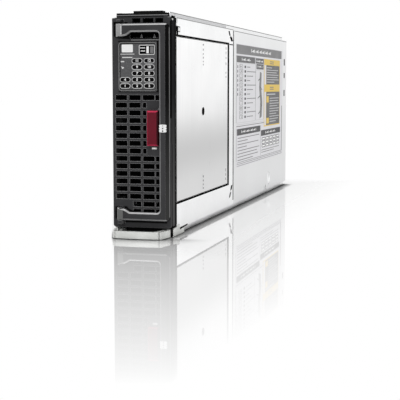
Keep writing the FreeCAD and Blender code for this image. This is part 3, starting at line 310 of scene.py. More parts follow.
    def sum(self, operation: str, first: NodeSocket, second: NodeSocket | float) -> NodeSocket:
        """One sum on two values.

        Args:
            operation: Name of the sum.
            first: First value.
            second: Second value or a plain number.

        Returns:
            Socket of the result.
        """
        node = self.add("ShaderNodeMath", operation=operation)
        self.join(first, node.inputs[0])
        if isinstance(second, NodeSocket):
            self.join(second, node.inputs[1])
        else:
            node.inputs[1].default_value = second
        return node.outputs[0]

    def soft_normal(self, radius: float) -> NodeSocket:
        """Normal that is rounded off at edges.

        Args:
            radius: Radius of the rounding, in millimetres.

        Returns:
            Socket of the normal.
        """
        node = self.add("ShaderNodeBevel", samples=6)
        node.inputs["Radius"].default_value = radius * MM
        return node.outputs["Normal"]

    def edges(self, soft: NodeSocket) -> NodeSocket:
        """Mask that is 1 on edges and 0 on flat faces.

        Args:
            soft: Normal that is rounded off at edges.

        Returns:
            Socket of the mask.
        """
        dot = self.add("ShaderNodeVectorMath", operation="DOT_PRODUCT")
        self.join(soft, dot.inputs[0])
        self.join(self.add("ShaderNodeNewGeometry").outputs["Normal"], dot.inputs[1])
        return self.spread(dot.outputs["Value"], (0.80, 0.995), FALL)

    def slants(self, shares: tuple[float, float, float]) -> NodeSocket:
        """Mask of bevels that lean away from the front.

        Args:
            shares: Strength on bevels that face up, left and down.

        Returns:
            Socket of the mask, which leaves out bevels on the right.
        """
        up, left, down = shares
        steep, level, rightward, tilt = (0.4, 0.6), (0.82, 0.95), (0.5, 0.65), 0.6
        parts = self.facing()
        forward = self.sum("ABSOLUTE", parts["Y"], 0.0)
        lean = self.sum("MULTIPLY", self.spread(forward, steep, RISE), self.spread(forward, level, FALL))
        lean = self.sum("MULTIPLY", lean, self.spread(parts["X"], rightward, FALL))
        share = self.sum("ADD", self.spread(parts["Z"], (0.0, tilt), (left, up)),
                         self.spread(parts["Z"], (-tilt, 0.0), (down - left, 0.0)))
        return self.sum("MULTIPLY", lean, share)

    def right_sides(self) -> NodeSocket:
        """Mask of faces that look to the blade's right."""
        return self.spread(self.facing()["X"], (0.3, 0.6), RISE)

    def other_sides(self) -> NodeSocket:
        """Mask of faces that look anywhere but to the blade's right."""
        return self.spread(self.right_sides(), RISE, FALL)

    def relief(self, height: NodeSocket, depth: float, soft: NodeSocket) -> None:
        """Raises the surface by a height pattern.

        Args:
            height: Pattern of heights.
            depth: Height of its peaks, in millimetres.
            soft: Normal that it is laid over.
        """
        node = self.add("ShaderNodeBump")
        node.inputs["Strength"].default_value = 1.0
        node.inputs["Distance"].default_value = depth * MM
        self.join(height, node.inputs["Height"])
        self.join(soft, node.inputs["Normal"])
        self.join(node.outputs["Normal"], self.shader.inputs["Normal"])

    def colour(self, socket: NodeSocket) -> None:
        """Joins a colour to the shader."""
        self.join(socket, self.shader.inputs["Base Color"])

    def roughness(self, socket: NodeSocket) -> None:
        """Joins a roughness to the shader."""
        self.join(socket, self.shader.inputs["Roughness"])

    def layer(self, factor: NodeSocket, under: NodeSocket | None, over: NodeSocket) -> NodeSocket:
        """Mix of two shaders.

        Args:
            factor: Share of the second shader.
            under: Shader where the factor is 0, or None for black.
            over: Shader where the factor is 1.

        Returns:
            Socket of the mixed shader.
        """
        node = self.add("ShaderNodeMixShader")
        self.join(factor, node.inputs["Fac"])
        if under is not None:
            self.join(under, node.inputs[1])
        self.join(over, node.inputs[2])
        return node.outputs[0]


@dataclass(frozen=True)
class SheetMetal:
    """Bare or coated metal: grain, cloudy mottle, painted edge highlight and, if given, painted shade by
    height.
    """

    name: str
    colour: Colour
    rough: Span = (0.28, 0.42)
    grain: Grain = Grain.PLAIN
    contrast: float = 0.12
    grain_scale: float = 900.0
    grain_depth: float = 0.004
    edge: float = 0.3
    # Painted shading: greys by height in millimetres that darken the metal as the light falls
    tone: tuple[Span, ...] = ()
    cloud_scale: float = 16.0
    streak_share: float = 0.65
    # Factor that paints the edges lighter: a painted highlight
    edge_light: float = 1.12

    def material(self) -> Material:
        """Builds the node graph of this metal.

        Returns:
            The finished material.
        """
        graph = Graph(self.name)
        graph.fix(Metallic=1.0)
        streaks = graph.noise(graph.place(self.grain.value), self.grain_scale, 4.0, 0.6)
        cloud = graph.noise(graph.place(), self.cloud_scale, 4.0)
        blend = graph.sum("MULTIPLY_ADD", streaks, self.streak_share)
        graph.join(graph.spread(cloud, CLOUD, (0.0, 1.0 - self.streak_share)), blend.node.inputs[2])
        body = graph.mottle(blend, self.colour, 1.0 - self.contrast, 1.0 + self.contrast * 0.6, (0.3, 0.75))
        # Painted shading by height
        if self.tone:
            body = graph.dim(body, graph.ramp("Z", self.tone))
        soft = graph.soft_normal(self.edge)
        # Edges painted lighter: a painted highlight
        graph.colour(graph.tint(graph.edges(soft), body, shade(self.colour, self.edge_light)))
        graph.roughness(graph.spread(blend, (0.25, 0.8), self.rough))
        graph.relief(streaks, self.grain_depth, soft)
        return graph.material


@dataclass(frozen=True)
class Moulding:
    """Moulded plastic with a fine texture and painted highlights and shade on edges, bevels and sides."""

    name: str
    colour: Colour
    # Colour of the painted highlight on edges
    edge_colour: Colour
    rough: Span = (0.36, 0.5)
    texture_scale: float = 1700.0
    texture_depth: float = 0.012
    edge: float = 0.5
    coat: float = 0.0
    metal: float = 0.0
    gloss: float = 0.5
    # Strength of the painted edge highlight on edges facing down and up, as light from above
    edge_rise: Span = (1.0, 1.0)
    # Colour of the painted highlight on bevels, with its strength on bevels facing up, left and down
    facet: Colour | None = None
    facet_shares: tuple[float, float, float] = (1.0, 0.3, 0.55)
    # Painted shade on faces that look right: its colour low down and high up, between the heights in
    # flank_climb
    flank: tuple[Colour, Colour] | None = None
    flank_climb: Span = (30.0, 115.0)
    # Painted highlight line on right-looking faces: where it starts across and its colour
    trim: tuple[float, Colour] | None = None
    trim_fade: float = 0.2
    # Painted shade behind the face: depths in millimetres and the dark colour there
    recess: tuple[Span, Colour] | None = None
    cloud_scale: float = 38.0
    cloud_share: float = 0.6

    def sides(self, graph: Graph, body: NodeSocket) -> NodeSocket:
        """Adds painted bevel highlights, painted shade and a painted highlight line on the right, where set.

        Args:
            graph: Graph that is being built.
            body: Colour of the plastic so far.

        Returns:
            Socket of the colour with its sides.
        """
        # Painted highlight on bevels
        if self.facet:
            body = graph.tint(graph.slants(self.facet_shares), body, self.facet)
        # Painted shade on faces that look right, changing with height
        if self.flank:
            climb = graph.reach("Z", *self.flank_climb)
            body = graph.tint(graph.right_sides(), body, graph.tint(climb, *self.flank))
        # Painted highlight line along the right side
        if self.trim:
            start, light = self.trim
            reach = graph.reach("X", start, start + self.trim_fade)
            body = graph.tint(graph.sum("MULTIPLY", reach, graph.right_sides()), body, light)
        return body

    def material(self) -> Material:
        """Builds the node graph of this plastic, with painted shade in a recess where it has one.

        Returns:
            The finished material.
        """
        graph = Graph(self.name)
        graph.fix(Coat_Weight=self.coat, Coat_Roughness=0.2, Metallic=self.metal,
                  Specular_IOR_Level=self.gloss)
        fine = graph.noise(graph.place(), self.texture_scale, 2.0)
        cloud = graph.noise(graph.place(), self.cloud_scale, 4.0)
        body = self.sides(graph, graph.mottle(cloud, self.colour, 0.85, 1.15))
        soft = graph.soft_normal(self.edge)
        # Painted highlight on edges, stronger on edges that face up
        rise = graph.spread(graph.parts(soft)["Z"], (-0.3, 0.5), self.edge_rise)
        edge_highlight_mask = graph.sum("MULTIPLY", graph.edges(soft), rise)
        # The painted edge highlight is left off the painted right-side shade
        if self.flank:
            edge_highlight_mask = graph.sum("MULTIPLY", edge_highlight_mask, graph.other_sides())
        body = graph.tint(edge_highlight_mask, body, self.edge_colour)
        # Painted shade in recesses behind the face
        if self.recess:
            (start, end), dark = self.recess
            depth = graph.sum("MULTIPLY", graph.reach("Y", start, end), graph.other_sides())
            body = graph.tint(depth, body, dark)
        graph.colour(body)
        uneven = graph.sum("ADD", graph.sum("MULTIPLY", cloud, self.cloud_share),
                           graph.sum("MULTIPLY", fine, 1.0 - self.cloud_share))
        graph.roughness(graph.spread(uneven, CLOUD, self.rough))
        graph.relief(fine, self.texture_depth, soft)
        return graph.material


@dataclass(frozen=True)
class Ink:
    """Printed colour with a fine dot and slight unevenness."""

    name: str
    colour: Colour
    rough: Span = (0.4, 0.55)
    gloss: float = 0.5
    dot_scale: float = 2600.0
    dot_share: float = 0.25
    cloud_scale: float = 60.0

    def material(self) -> Material:
        """Builds the node graph of this print.

        Returns:
            The finished material.
        """
        graph = Graph(self.name)
        graph.fix(Specular_IOR_Level=self.gloss)
        dots = graph.noise(graph.place(), self.dot_scale, 1.0)
        cloud = graph.noise(graph.place(), self.cloud_scale, 3.0)
        body = graph.mottle(cloud, self.colour, 0.95, 1.04)
        dotted = graph.spread(dots, (0.5, 0.8), (0.0, self.dot_share))
        graph.colour(graph.tint(dotted, body, shade(self.colour, 0.8)))
        graph.roughness(graph.spread(cloud, CLOUD, self.rough))
        return graph.material


@dataclass(frozen=True)
class Foam:
    """Soft seal of fine cells."""

    name: str
    colour: Colour
    cell_scale: float = 1100.0
    cell_depth: float = 0.12
    cloud_scale: float = 90.0
    rough: Span = (0.75, 0.95)

    def material(self) -> Material:
        """Builds the node graph of this foam.

        Returns:
            The finished material.
        """
        graph = Graph(self.name)
        graph.fix(Specular_IOR_Level=0.08)
        cells = graph.cells(graph.place(), self.cell_scale)
        cloud = graph.noise(graph.place(), self.cloud_scale, 4.0)
        graph.colour(graph.mottle(cells, self.colour, 0.55, 1.4, (0.0, 0.7)))
        graph.roughness(graph.spread(cloud, CLOUD, self.rough))
        graph.relief(cells, self.cell_depth, graph.soft_normal(0.4))
        return graph.material


@dataclass(frozen=True)
class SolderMask:
    """Circuit board with tracks under a coloured mask."""

    name: str
    colour: Colour
    track: Colour
    pitch: float = 3.2
    track_width: Span = (0.04, 0.07)
    track_height: float = 0.03
    cloud_scale: float = 40.0
    rough: Span = (0.3, 0.45)

    def material(self) -> Material:
        """Builds the node graph of this board.

        Returns:
            The finished material.
        """
        graph = Graph(self.name)
        graph.fix(Coat_Weight=0.3, Coat_Roughness=0.15)
        cells = graph.cells(graph.place(), 1.0 / (self.pitch * MM), "DISTANCE_TO_EDGE")
        cloud = graph.noise(graph.place(), self.cloud_scale, 3.0)
        tracks = graph.spread(cells, self.track_width, FALL)
        graph.colour(graph.tint(tracks, graph.mottle(cloud, self.colour, 0.8, 1.2), self.track))
        graph.roughness(graph.spread(cloud, CLOUD, self.rough))
        graph.relief(tracks, self.track_height, graph.soft_normal(0.2))
        return graph.material


@dataclass(frozen=True)
class Glaze:
    """Smooth lens or clear moulding with faint ripples."""

    name: str
    colour: Colour
    through: float = 0.0
    rough: Span = (0.1, 0.2)
    gloss: float = 0.5
    fine_scale: float = 1500.0
    ripple_scale: float = 55.0
    ripple_depth: float = 0.02

    def material(self) -> Material:
        """Builds the node graph of this lens.

        Returns:
            The finished material.
        """
        graph = Graph(self.name)
        graph.fix(Transmission_Weight=self.through, IOR=1.49, Specular_IOR_Level=self.gloss)
        ripple = graph.noise(graph.place(), self.ripple_scale, 3.0)
        fine = graph.noise(graph.place(), self.fine_scale, 2.0)
        graph.colour(graph.mottle(fine, self.colour, 0.78, 1.22, (0.35, 0.65)))
        graph.roughness(graph.spread(ripple, CLOUD, self.rough))
        graph.relief(ripple, self.ripple_depth, graph.soft_normal(0.4))
        return graph.material


Finish = SheetMetal | Moulding | Ink | Foam | SolderMask | Glaze

# Metals
STEEL = SheetMetal("zinc_sheet", (0.84, 0.845, 0.85), (0.26, 0.4), contrast=0.06, grain_scale=420.0)
# The cover, panel and frame carry painted shading by height
COVER_STEEL = SheetMetal("cover_sheet", (0.84, 0.845, 0.85), (0.3, 0.44), contrast=0.05, grain_scale=300.0,
                         tone=((5.0, 0.83), (40.0, 0.82), (90.0, 0.85), (150.0, 0.92), (176.0, 0.97)))
BRUSHED = SheetMetal("brushed_panel", (0.98, 0.982, 0.985), (0.24, 0.4), Grain.UPRIGHT, 0.09, 700.0, 0.006,
                     tone=((30.0, 0.67), (43.0, 0.66), (55.0, 0.58), (66.0, 0.54), (76.0, 0.58),
                           (87.0, 0.69), (98.0, 0.84), (113.0, 0.92), (128.0, 0.97), (160.0, 1.0)))
FRAME_STEEL = SheetMetal("frame_sheet", (0.93, 0.934, 0.938), (0.26, 0.4), contrast=0.06, grain_scale=420.0,
                         tone=((5.0, 0.89), (40.0, 0.92), (66.0, 0.84), (80.0, 0.88), (100.0, 0.97),
                               (120.0, 1.0), (175.0, 1.0)))
DRAWER_STEEL = SheetMetal("drawer_sheet", (0.74, 0.745, 0.75), (0.3, 0.45), contrast=0.08)
RUNNER_STEEL = SheetMetal("rolled_runner", (0.6, 0.61, 0.63), (0.25, 0.4), Grain.LENGTHWISE, 0.12)
PIN_STEEL = SheetMetal("turned_pin", (0.62, 0.62, 0.64), (0.2, 0.32))
GILT = SheetMetal("gilt_contact", (0.86, 0.62, 0.24), (0.2, 0.34))
SINK = SheetMetal("extruded_sink", (0.72, 0.73, 0.74), (0.3, 0.45), Grain.UPRIGHT, 0.1)
CASTING = SheetMetal("drive_casting", (0.66, 0.67, 0.68), (0.35, 0.5), contrast=0.12, grain_scale=700.0)

# Coated and moulded parts; a moulding's second colour is its painted edge highlight
# Near-black sheet: the hooks' own colour, and laid as painted shade behind the grille, in gaps, by the foot
# and in a hole
BLACK_SHEET_AND_SHADE = Moulding("black_sheet_and_painted_shade", (0.003, 0.003, 0.003), (0.006, 0.006, 0.006), (0.6, 0.75),
                       gloss=0.0)
# Bezel: painted highlights on edges and bevels, painted shade on its right side darker higher up, painted
# shade in recesses
BLACK = Moulding("black_moulding", (0.046, 0.046, 0.048), (0.40, 0.40, 0.405), (0.6, 0.75), edge=0.8,
                 gloss=0.0, edge_rise=(0.75, 1.0), facet=(0.3, 0.3, 0.305), facet_shares=(1.0, 0.1, 0.3),
                 flank=((0.075, 0.075, 0.076), (0.016, 0.016, 0.017)),
                 recess=((BEZEL_FACE + 0.5, BEZEL_FACE + 1.3), (0.012, 0.012, 0.012)))
# Handle: painted highlights on edges and bevels, painted shade on its right side darker higher up, painted
# highlight line at its right edge
HANDLE_BLACK = Moulding("handle_moulding", (0.044, 0.044, 0.046), (0.34, 0.34, 0.345), (0.3, 0.42),
                        edge=0.5, gloss=0.02, facet=(0.56, 0.56, 0.565),
                        flank=((0.034, 0.034, 0.034), (0.002, 0.002, 0.002)),
                        trim=(23.5, (0.36, 0.36, 0.36)))
# Lighter grey laid as a painted highlight on the status rim, the gusset and the ledge
HIGHLIGHT_GREY = Moulding("highlight_grey_moulding", (0.17, 0.17, 0.172), (0.3, 0.3, 0.3), gloss=0.1)
# The hinge tabs are one grey moulding, painted lighter on the upper tab and darker on the lower as light and
# shade
HINGE_LIT = Moulding("hinge_tab", (0.28, 0.28, 0.282), (0.45, 0.45, 0.45), (0.3, 0.42), edge=0.4,
                      gloss=0.2, facet=(0.62, 0.62, 0.62), facet_shares=(1.0, 0.1, 0.4))
HINGE_SHADED = Moulding("hinge_tab_shaded", (0.12, 0.123, 0.12), (0.2, 0.2, 0.2), (0.3, 0.42), edge=0.4,
                      gloss=0.2, facet=(0.62, 0.62, 0.62), facet_shares=(1.0, 0.1, 0.25))
# Red moulding: painted highlights on its edges and bevels, painted shade on faces that look right
RED = Moulding("red_moulding", (0.112, 0.0055, 0.0145), (0.40, 0.03, 0.07), (0.25, 0.38), 700.0, 0.006, 0.4,
               gloss=0.08, facet=(0.62, 0.045, 0.10), flank=((0.03, 0.002, 0.004), (0.03, 0.002, 0.004)))
SILVER = Moulding("silver_casting", (0.56, 0.57, 0.55), (0.84, 0.84, 0.82), (0.3, 0.42), 900.0, 0.004,
                  coat=0.2, metal=0.35)
CARRIER = Moulding("carrier_moulding", (0.05, 0.05, 0.055), (0.13, 0.13, 0.14))
CONNECTOR = Moulding("connector_moulding", (0.02, 0.02, 0.022), (0.07, 0.07, 0.07), (0.4, 0.55))
WRAP = Moulding("cell_wrap", (0.03, 0.05, 0.13), (0.06, 0.09, 0.2), (0.2, 0.32), 400.0, 0.01, 0.4, 0.4)
GASKET = Foam("gasket_foam", (0.004, 0.004, 0.004))
LENS = Glaze("status_lens", (0.088, 0.088, 0.091), 0.0, (0.3, 0.4), 0.1)
CLEAR = Glaze("light_pipe", (0.8, 0.86, 0.88), 0.9)
BOARD = SolderMask("solder_mask", (0.012, 0.09, 0.04), (0.03, 0.2, 0.09))

# Prints; black, dark, grey and pale inks are also laid as painted shade and highlight
WHITE_INK = Ink("white_ink", (0.82, 0.82, 0.82))
MARK_INK = Ink("mark_ink", (0.62, 0.62, 0.62))
PALE_INK = Ink("pale_ink", (0.55, 0.55, 0.56), gloss=0.2)
GREY_INK = Ink("grey_ink", (0.17, 0.17, 0.172), gloss=0.2)
SLATE_INK = Ink("slate_ink", (0.11, 0.11, 0.112), gloss=0.15)
DARK_INK = Ink("dark_ink", (0.06, 0.06, 0.063), gloss=0.1)
# Black ink: print on plates and signs, and painted shadow in gaps, grooves, slots and round the handle
SHADOW_INK = Ink("black_print_and_painted_shadow", (0.006, 0.006, 0.006), gloss=0.0)
YELLOW_INK = Ink("yellow_ink", (0.70, 0.49, 0.08), gloss=0.2)
PAPER = Ink("label_film", (0.66, 0.655, 0.68), (0.3, 0.42), 0.2)

SLOT_FINISHES = {
    "sheet_steel": STEEL, "brushed_steel": BRUSHED, "drawer_steel": DRAWER_STEEL,
    "runner_steel": RUNNER_STEEL, "pin_steel": PIN_STEEL, "black_moulding": BLACK, "status_lens": LENS,
    "clear_plastic": CLEAR, "red_moulding": RED, "silver_cast": SILVER, "foam_gasket": GASKET,
    "circuit_board": BOARD, "black_connector": CONNECTOR, "heat_sink": SINK, "cell_wrap": WRAP,
    "carrier_moulding": CARRIER, "drive_casting": CASTING, "coated_steel": BLACK_SHEET_AND_SHADE,
}
NODE_FINISHES = {"drawer_handle": HANDLE_BLACK, "access_cover": COVER_STEEL, "side_frame": FRAME_STEEL}


class Wardrobe:
    """Makes each finish once and hands out its material."""

    def __init__(self) -> None:
        """Starts with nothing made."""
        self.made: dict[str, Material] = {}

    def get(self, finish: Finish) -> Material:
        """Material of a finish, made at its first use.

        Args:
            finish: Finish that is wanted.

        Returns:
            Its material.
        """
        if finish.name not in self.made:
            self.made[finish.name] = finish.material()
        return self.made[finish.name]

    def dress_nodes(self) -> None:
        """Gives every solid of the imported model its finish."""
        for name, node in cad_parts.items():
            slot = node.data.materials[0].name.split(".")[0] if node.data.materials else ""
            finish = NODE_FINISHES.get(name) or SLOT_FINISHES.get(slot, STEEL)
            node.data.materials.clear()
            node.data.materials.append(self.get(finish))
            LOG.info("%s dressed in %s (%s)", name, finish.name, slot)


WARDROBE = Wardrobe()


class Sketch:
    """Flat and low pieces on one side of the blade, gathered into one mesh."""

    def __init__(self, face: Face, level: float) -> None:
        """Starts an empty mesh on a side.

        Args:
            face: Side of the blade.
            level: Distance of the sketch along the side's outward direction.
        """
        self.place = face.placing(level)
        self.mesh = bmesh.new()
        self.done = self.mesh.faces.layers.int.new("done")
        self.finishes: list[Material] = []
        self.layer = 0

    def use(self, finish: Finish) -> "Sketch":
        """Chooses the finish of the shapes that follow.

        Args:
            finish: Finish to use.

        Returns:
            This sketch, so that a shape can follow in the same line.
        """
        material = WARDROBE.get(finish)
        if material not in self.finishes:
            self.finishes.append(material)
        self.layer = self.finishes.index(material)
        return self

    def _mark(self) -> None:
        """Gives the newest faces the chosen finish."""
        for face in self.mesh.faces:
            if not face[self.done]:
                face.material_index = self.layer
                face[self.done] = 1

    def _plate(self, points: Sequence[Point], base: float, rounding: float) -> bmesh.types.BMFace:
        """Flat face of an outline.

        Args:
            points: Corners in order, right and up.
            base: Height above the side's level.
            rounding: Radius of its corners, or 0 for sharp ones.

        Returns:
            The new face.
        """
        corners = [self.mesh.verts.new((u, v, base)) for u, v in points]
        face = self.mesh.faces.new(corners)
        face.normal_update()
        if rounding > 0:
            cut = bmesh.ops.bevel(self.mesh, geom=corners, offset=rounding, offset_type="OFFSET", segments=5,
                                  profile=0.5, affect="VERTICES", material=-1, clamp_overlap=True)
            face = max((f for v in cut["verts"] for f in v.link_faces), key=lambda f: f.calc_area())
        return face

    def _raise(self, faces: list[bmesh.types.BMFace], thick: float, rim: float = 0.0) -> None:
        """Pulls flat faces out into a closed slab.

        Args:
            faces: Faces that lie side by side.
            thick: How far they are pulled.
            rim: Width of the bevel round the outer face, or 0 for none.
        """
        grown = bmesh.ops.extrude_face_region(self.mesh, geom=faces)["geom"]
        moved = [part for part in grown if isinstance(part, bmesh.types.BMVert)]
        bmesh.ops.translate(self.mesh, verts=moved, vec=(0, 0, thick))
        if rim > 0:
            tops = {part for part in grown if isinstance(part, bmesh.types.BMFace)}
            edges = {edge for top in tops for edge in top.edges if not tops.issuperset(edge.link_faces)}
            bmesh.ops.bevel(self.mesh, geom=list(edges), offset=rim, offset_type="OFFSET", segments=1,
                            profile=0.5, affect="EDGES", material=-1, clamp_overlap=True)
        self._mark()

    def polygon(self, points: Sequence[Point], thick: float, base: float = 0.0, rounding: float = 0.0,
                rim: float = 0.0) -> None:
        """Slab of any outline.

        Args:
            points: Corners in order, right and up.
            thick: How far it stands out.
            base: Where it starts above the side's level.
            rounding: Radius of its corners.
            rim: Width of the bevel round its outer face.
        """
        self._raise([self._plate(points, base, rounding)], thick, rim)

    def slab(self, across: Span, up: Span, thick: float, base: float = 0.0, rounding: float = 0.0,
             rim: float = 0.0) -> None:
        """Upright rectangle of a thickness, with corners and a rim that may be round."""
        (left, right), (low, high) = across, up
        self.polygon([(left, low), (right, low), (right, high), (left, high)], thick, base, rounding, rim)

    def outline(self, across: Span, up: Span, line: float, thick: float, base: float = 0.0,
                rounding: float = 0.0) -> None:
        """Line of a width that runs round a rectangle.

        Args:
            across: Left and right of the outer edge.
            up: Bottom and top of the outer edge.
            line: Width of the line.
            thick: How far it stands out.
            base: Where it starts above the side's level.
            rounding: Radius of the outer corners.
        """
        (left, right), (low, high) = across, up
        face = self._plate(((left, low), (right, low), (right, high), (left, high)), base, rounding)
        ring = bmesh.ops.inset_region(self.mesh, faces=[face], thickness=line, use_boundary=True,
                                      use_even_offset=True)["faces"]
        bmesh.ops.delete(self.mesh, geom=[face], context="FACES_ONLY")
        self._raise(ring, thick)

    def disc(self, middle: Point, radius: float, thick: float, base: float = 0.0, rim: float = 0.0,
             sides: int = 20) -> None:
        """Round slab.

        Args:
            middle: Its centre, right and up.
            radius: Its radius.
            thick: How far it stands out.
            base: Where it starts above the side's level.
            rim: Width of the bevel round its outer face.
            sides: Number of its straight sides.
        """
        spot = Matrix.Translation((*middle, base)) @ Matrix.Rotation(-math.pi / 2, 4, "Z")
        ring = bmesh.ops.create_circle(self.mesh, cap_ends=True, segments=sides, radius=radius, matrix=spot)
        self._raise(list(ring["verts"][0].link_faces), thick, rim)

    def screw(self, middle: Point, radius: float, thick: float, base: float = 0.0) -> None:
        """Low round screw head with painted shade in its six-sided socket.

        Args:
            middle: Its centre, right and up.
            radius: Its radius.
            thick: How far it stands out.
            base: Where it starts above the side's level.
        """
        layer = self.layer
        self.disc(middle, radius, thick, base, rim=thick * 0.6)
        # Black socket: painted shade
        self.use(SHADOW_INK).disc(middle, radius * 0.45, thick * 0.04, base + thick, sides=6)
        self.layer = layer

    def numeral(self, number: int, middle: Point, size: float, thick: float, weight: float = 0.0) -> None:
        """Number in plain figures.

        Args:
            number: Number to draw.
            middle: Its centre, right and up.
            size: Height of a line of figures.
            thick: How far it stands out.
            weight: How much bolder its strokes are than plain ones.
        """
        curve = bpy.data.curves.new("figure", "FONT")
        curve.body = str(number)
        curve.size = size
        curve.align_x = "CENTER"
        curve.align_y = "CENTER"
        curve.extrude = thick / 2
        curve.offset = weight
        curve.resolution_u = 3
        carrier = bpy.data.objects.new("figure", curve)
        flat = bpy.data.meshes.new_from_object(carrier)
        flat.transform(Matrix.Translation((middle[0], middle[1], thick / 2)))
        self.mesh.from_mesh(flat)
        bpy.data.objects.remove(carrier)
        bpy.data.curves.remove(curve)
        bpy.data.meshes.remove(flat)
        self._mark()

    def piece(self, name: str, body: str, slot: str) -> Object:
        """Turns the mesh into a piece of the object.

        Args:
            name: Name of the piece.
            body: Body that it moves with.
            slot: Not used.

        Returns:
            The new piece.
        """
        bmesh.ops.remove_doubles(self.mesh, verts=self.mesh.verts, dist=1e-5)
        bmesh.ops.recalc_face_normals(self.mesh, faces=self.mesh.faces)
        self.mesh.transform(self.place)
        data = bpy.data.meshes.new(name)
        self.mesh.to_mesh(data)
        self.mesh.free()
        for material in self.finishes:
            data.materials.append(material)
        made = bpy.data.objects.new(name, data)
        bpy.context.scene.collection.objects.link(made)
        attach(made, body)
        LOG.info("%s on %s, %d faces", name, body, len(data.polygons))
        return made


@dataclass
class StatusMarks:
    """Numbers, outlines and lights on the dark status plate, and the rim round it."""

    level: float = -0.2
    film: float = 0.04
    columns: tuple[float, ...] = (-14.0, -3.85, 6.3)
    lowest: float = 121.55
    pitch: float = 5.02
    full_rows: int = 2
    rows: int = 5
    pill: Span = (9.0, 4.1)
    pill_line: float = 0.4
    figure: float = 2.9
    figure_weight: float = 0.09
    window: Box = ((-2.2, 11.0), (146.35, 154.2))
    window_line: float = 0.55
    window_corner: float = 0.9
    signs: tuple[tuple[Ink, Box, float], ...] = (
        (WHITE_INK, ((4.1, 6.1), (147.5, 153.0)), 0.3),
        (WHITE_INK, ((-1.4, 3.0), (151.5, 152.1)), 0.0),
        (WHITE_INK, ((-0.7, 3.0), (149.0, 149.7)), 0.0),
        (GREY_INK, ((7.2, 9.9), (147.6, 152.9)), 0.4),
        (WHITE_INK, ((-16.7, -7.3), (148.4, 154.6)), 0.7),
        (MARK_INK, ((-17.9, -6.0), (146.7, 147.2)), 0.0),
        (MARK_INK, ((-16.4, -7.8), (143.9, 144.7)), 0.0),
        (MARK_INK, ((-17.6, -14.6), (140.6, 141.5)), 0.2),
    )
    pointer: tuple[Point, ...] = ((-17.4, 137.4), (-14.6, 136.2), (-16.2, 135.0))
    # Highlight-grey rim, a painted highlight round the plate, and the painted shade line inside it
    rim: Box = ((-19.4, 12.5), (117.8, 156.3))
    groove: Box = ((-18.4, 12.0), (118.3, 155.5))
    rim_line: float = 0.5
    # Painted shade in the gaps round the plate
    gaps: tuple[Box, ...] = (((12.9, 14.2), (117.2, 157.2)), ((-19.6, 14.2), (156.7, 157.5)),
                             ((-19.6, 14.2), (116.5, 117.3)))
    gap_base: float = 0.19

    def places(self) -> list[Point]:
        """Middles of the numbered lights, from the lowest row up."""
        return [(x, self.lowest + row * self.pitch) for row in range(self.rows)
                for x in (self.columns if row < self.full_rows else self.columns[1:])]

    def build(self) -> None:
        """Draws the marks and the rim and adds them to the drawer."""
        self.plate()
        self.surround()

    def plate(self) -> None:
        """Draws the numbered lights, the window and the small signs."""
        marks = Sketch(Face.FRONT, self.level)
        wide, high = self.pill
        corner = high / 2 - 0.01
        for number, (x, z) in enumerate(self.places(), start=1):
            across = (x - wide / 2, x + wide / 2)
            up = (z - high / 2, z + high / 2)
            marks.use(SHADOW_INK).slab(across, up, self.film / 2, rounding=corner)
            marks.use(MARK_INK).outline(across, up, self.pill_line, self.film, rounding=corner)
            marks.use(WHITE_INK).numeral(number, (x, z), self.figure, self.film, self.figure_weight)
        marks.use(SHADOW_INK).slab(*self.window, self.film / 2, rounding=self.window_corner)
        marks.use(MARK_INK).outline(*self.window, self.window_line, self.film, rounding=self.window_corner)
        for finish, (across, up), rounding in self.signs:
            marks.use(finish).slab(across, up, self.film, rounding=rounding)
        marks.polygon(self.pointer, self.film)
        marks.piece("status_marks", "drawer", "status_lens")

    def surround(self) -> None:
        """Makes the rim in highlight grey, with painted shade in its groove and in the gaps outside it."""
        rim = Sketch(Face.FRONT, self.level)
        rim.use(SHADOW_INK).outline(*self.groove, self.rim_line, 0.03, rounding=1.6)
        rim.use(HIGHLIGHT_GREY).outline(*self.rim, self.rim_line, 0.45, rounding=2.2)
        rim.use(SHADOW_INK)
        for across, up in self.gaps:
            rim.slab(across, up, self.film, self.gap_base)
        rim.piece("status_rim", "drawer", "black_moulding")


@dataclass
class HandleMark:
    """Raised stacked-disc sign on the handle's right strip."""

    level: float = 3.55
    rise: float = 1.12
    middle: Point = (18.9, 87.9)
    disc: Span = (6.0, 2.1)
    step: float = 2.05
    dots: tuple[float, ...] = (0.6, 0.55, 0.35)
    film: float = 0.02

    def build(self) -> None:
        """Draws the sign and adds it to the handle."""
        sign = Sketch(Face.FRONT, self.level).use(WHITE_INK)
        wide, high = self.disc
        x, z = self.middle
        for row in (-1, 0, 1):
            low = z + row * self.step - high / 2
            sign.slab((x - wide / 2, x + wide / 2), (low, low + high), self.rise, rounding=high / 2 - 0.02)
        sign.use(SHADOW_INK)
        for row, radius in enumerate(self.dots, start=-1):
            sign.disc((x, z + row * self.step), radius, self.film, self.rise)
        sign.piece("handle_sign", "handle", "black_moulding")


@dataclass
class HingeTabs:
    """Grey facets at the two hinged ends of the handle, with painted light, shade and a highlight stripe."""

    level: float = 4.2
    rise: float = 0.6
    rim: float = 0.59
    upper: tuple[Point, ...] = ((-20.0, 160.6), (-15.4, 161.0), (-14.6, 161.8), (-14.6, 170.8),
                                (-20.0, 170.8))
    lower: tuple[Point, ...] = ((-20.0, 13.5), (-14.8, 13.5), (-14.8, 22.0), (-20.0, 23.6))
    stripe: Box = ((-15.9, -15.3), (162.4, 169.4))
    film: float = 0.02

    def build(self) -> None:
        """Makes the facets and adds them to the handle."""
        tabs = Sketch(Face.FRONT, self.level)
        # Upper tab painted lit, lower tab painted shaded
        for finish, points in ((HINGE_LIT, self.upper), (HINGE_SHADED, self.lower)):
            tabs.use(finish).polygon(points, self.rise, rim=self.rim)
        # Painted highlight stripe on the upper tab
        tabs.use(PALE_INK).slab(*self.stripe, self.film, self.rise)
        tabs.piece("hinge_tabs", "handle", "black_moulding")


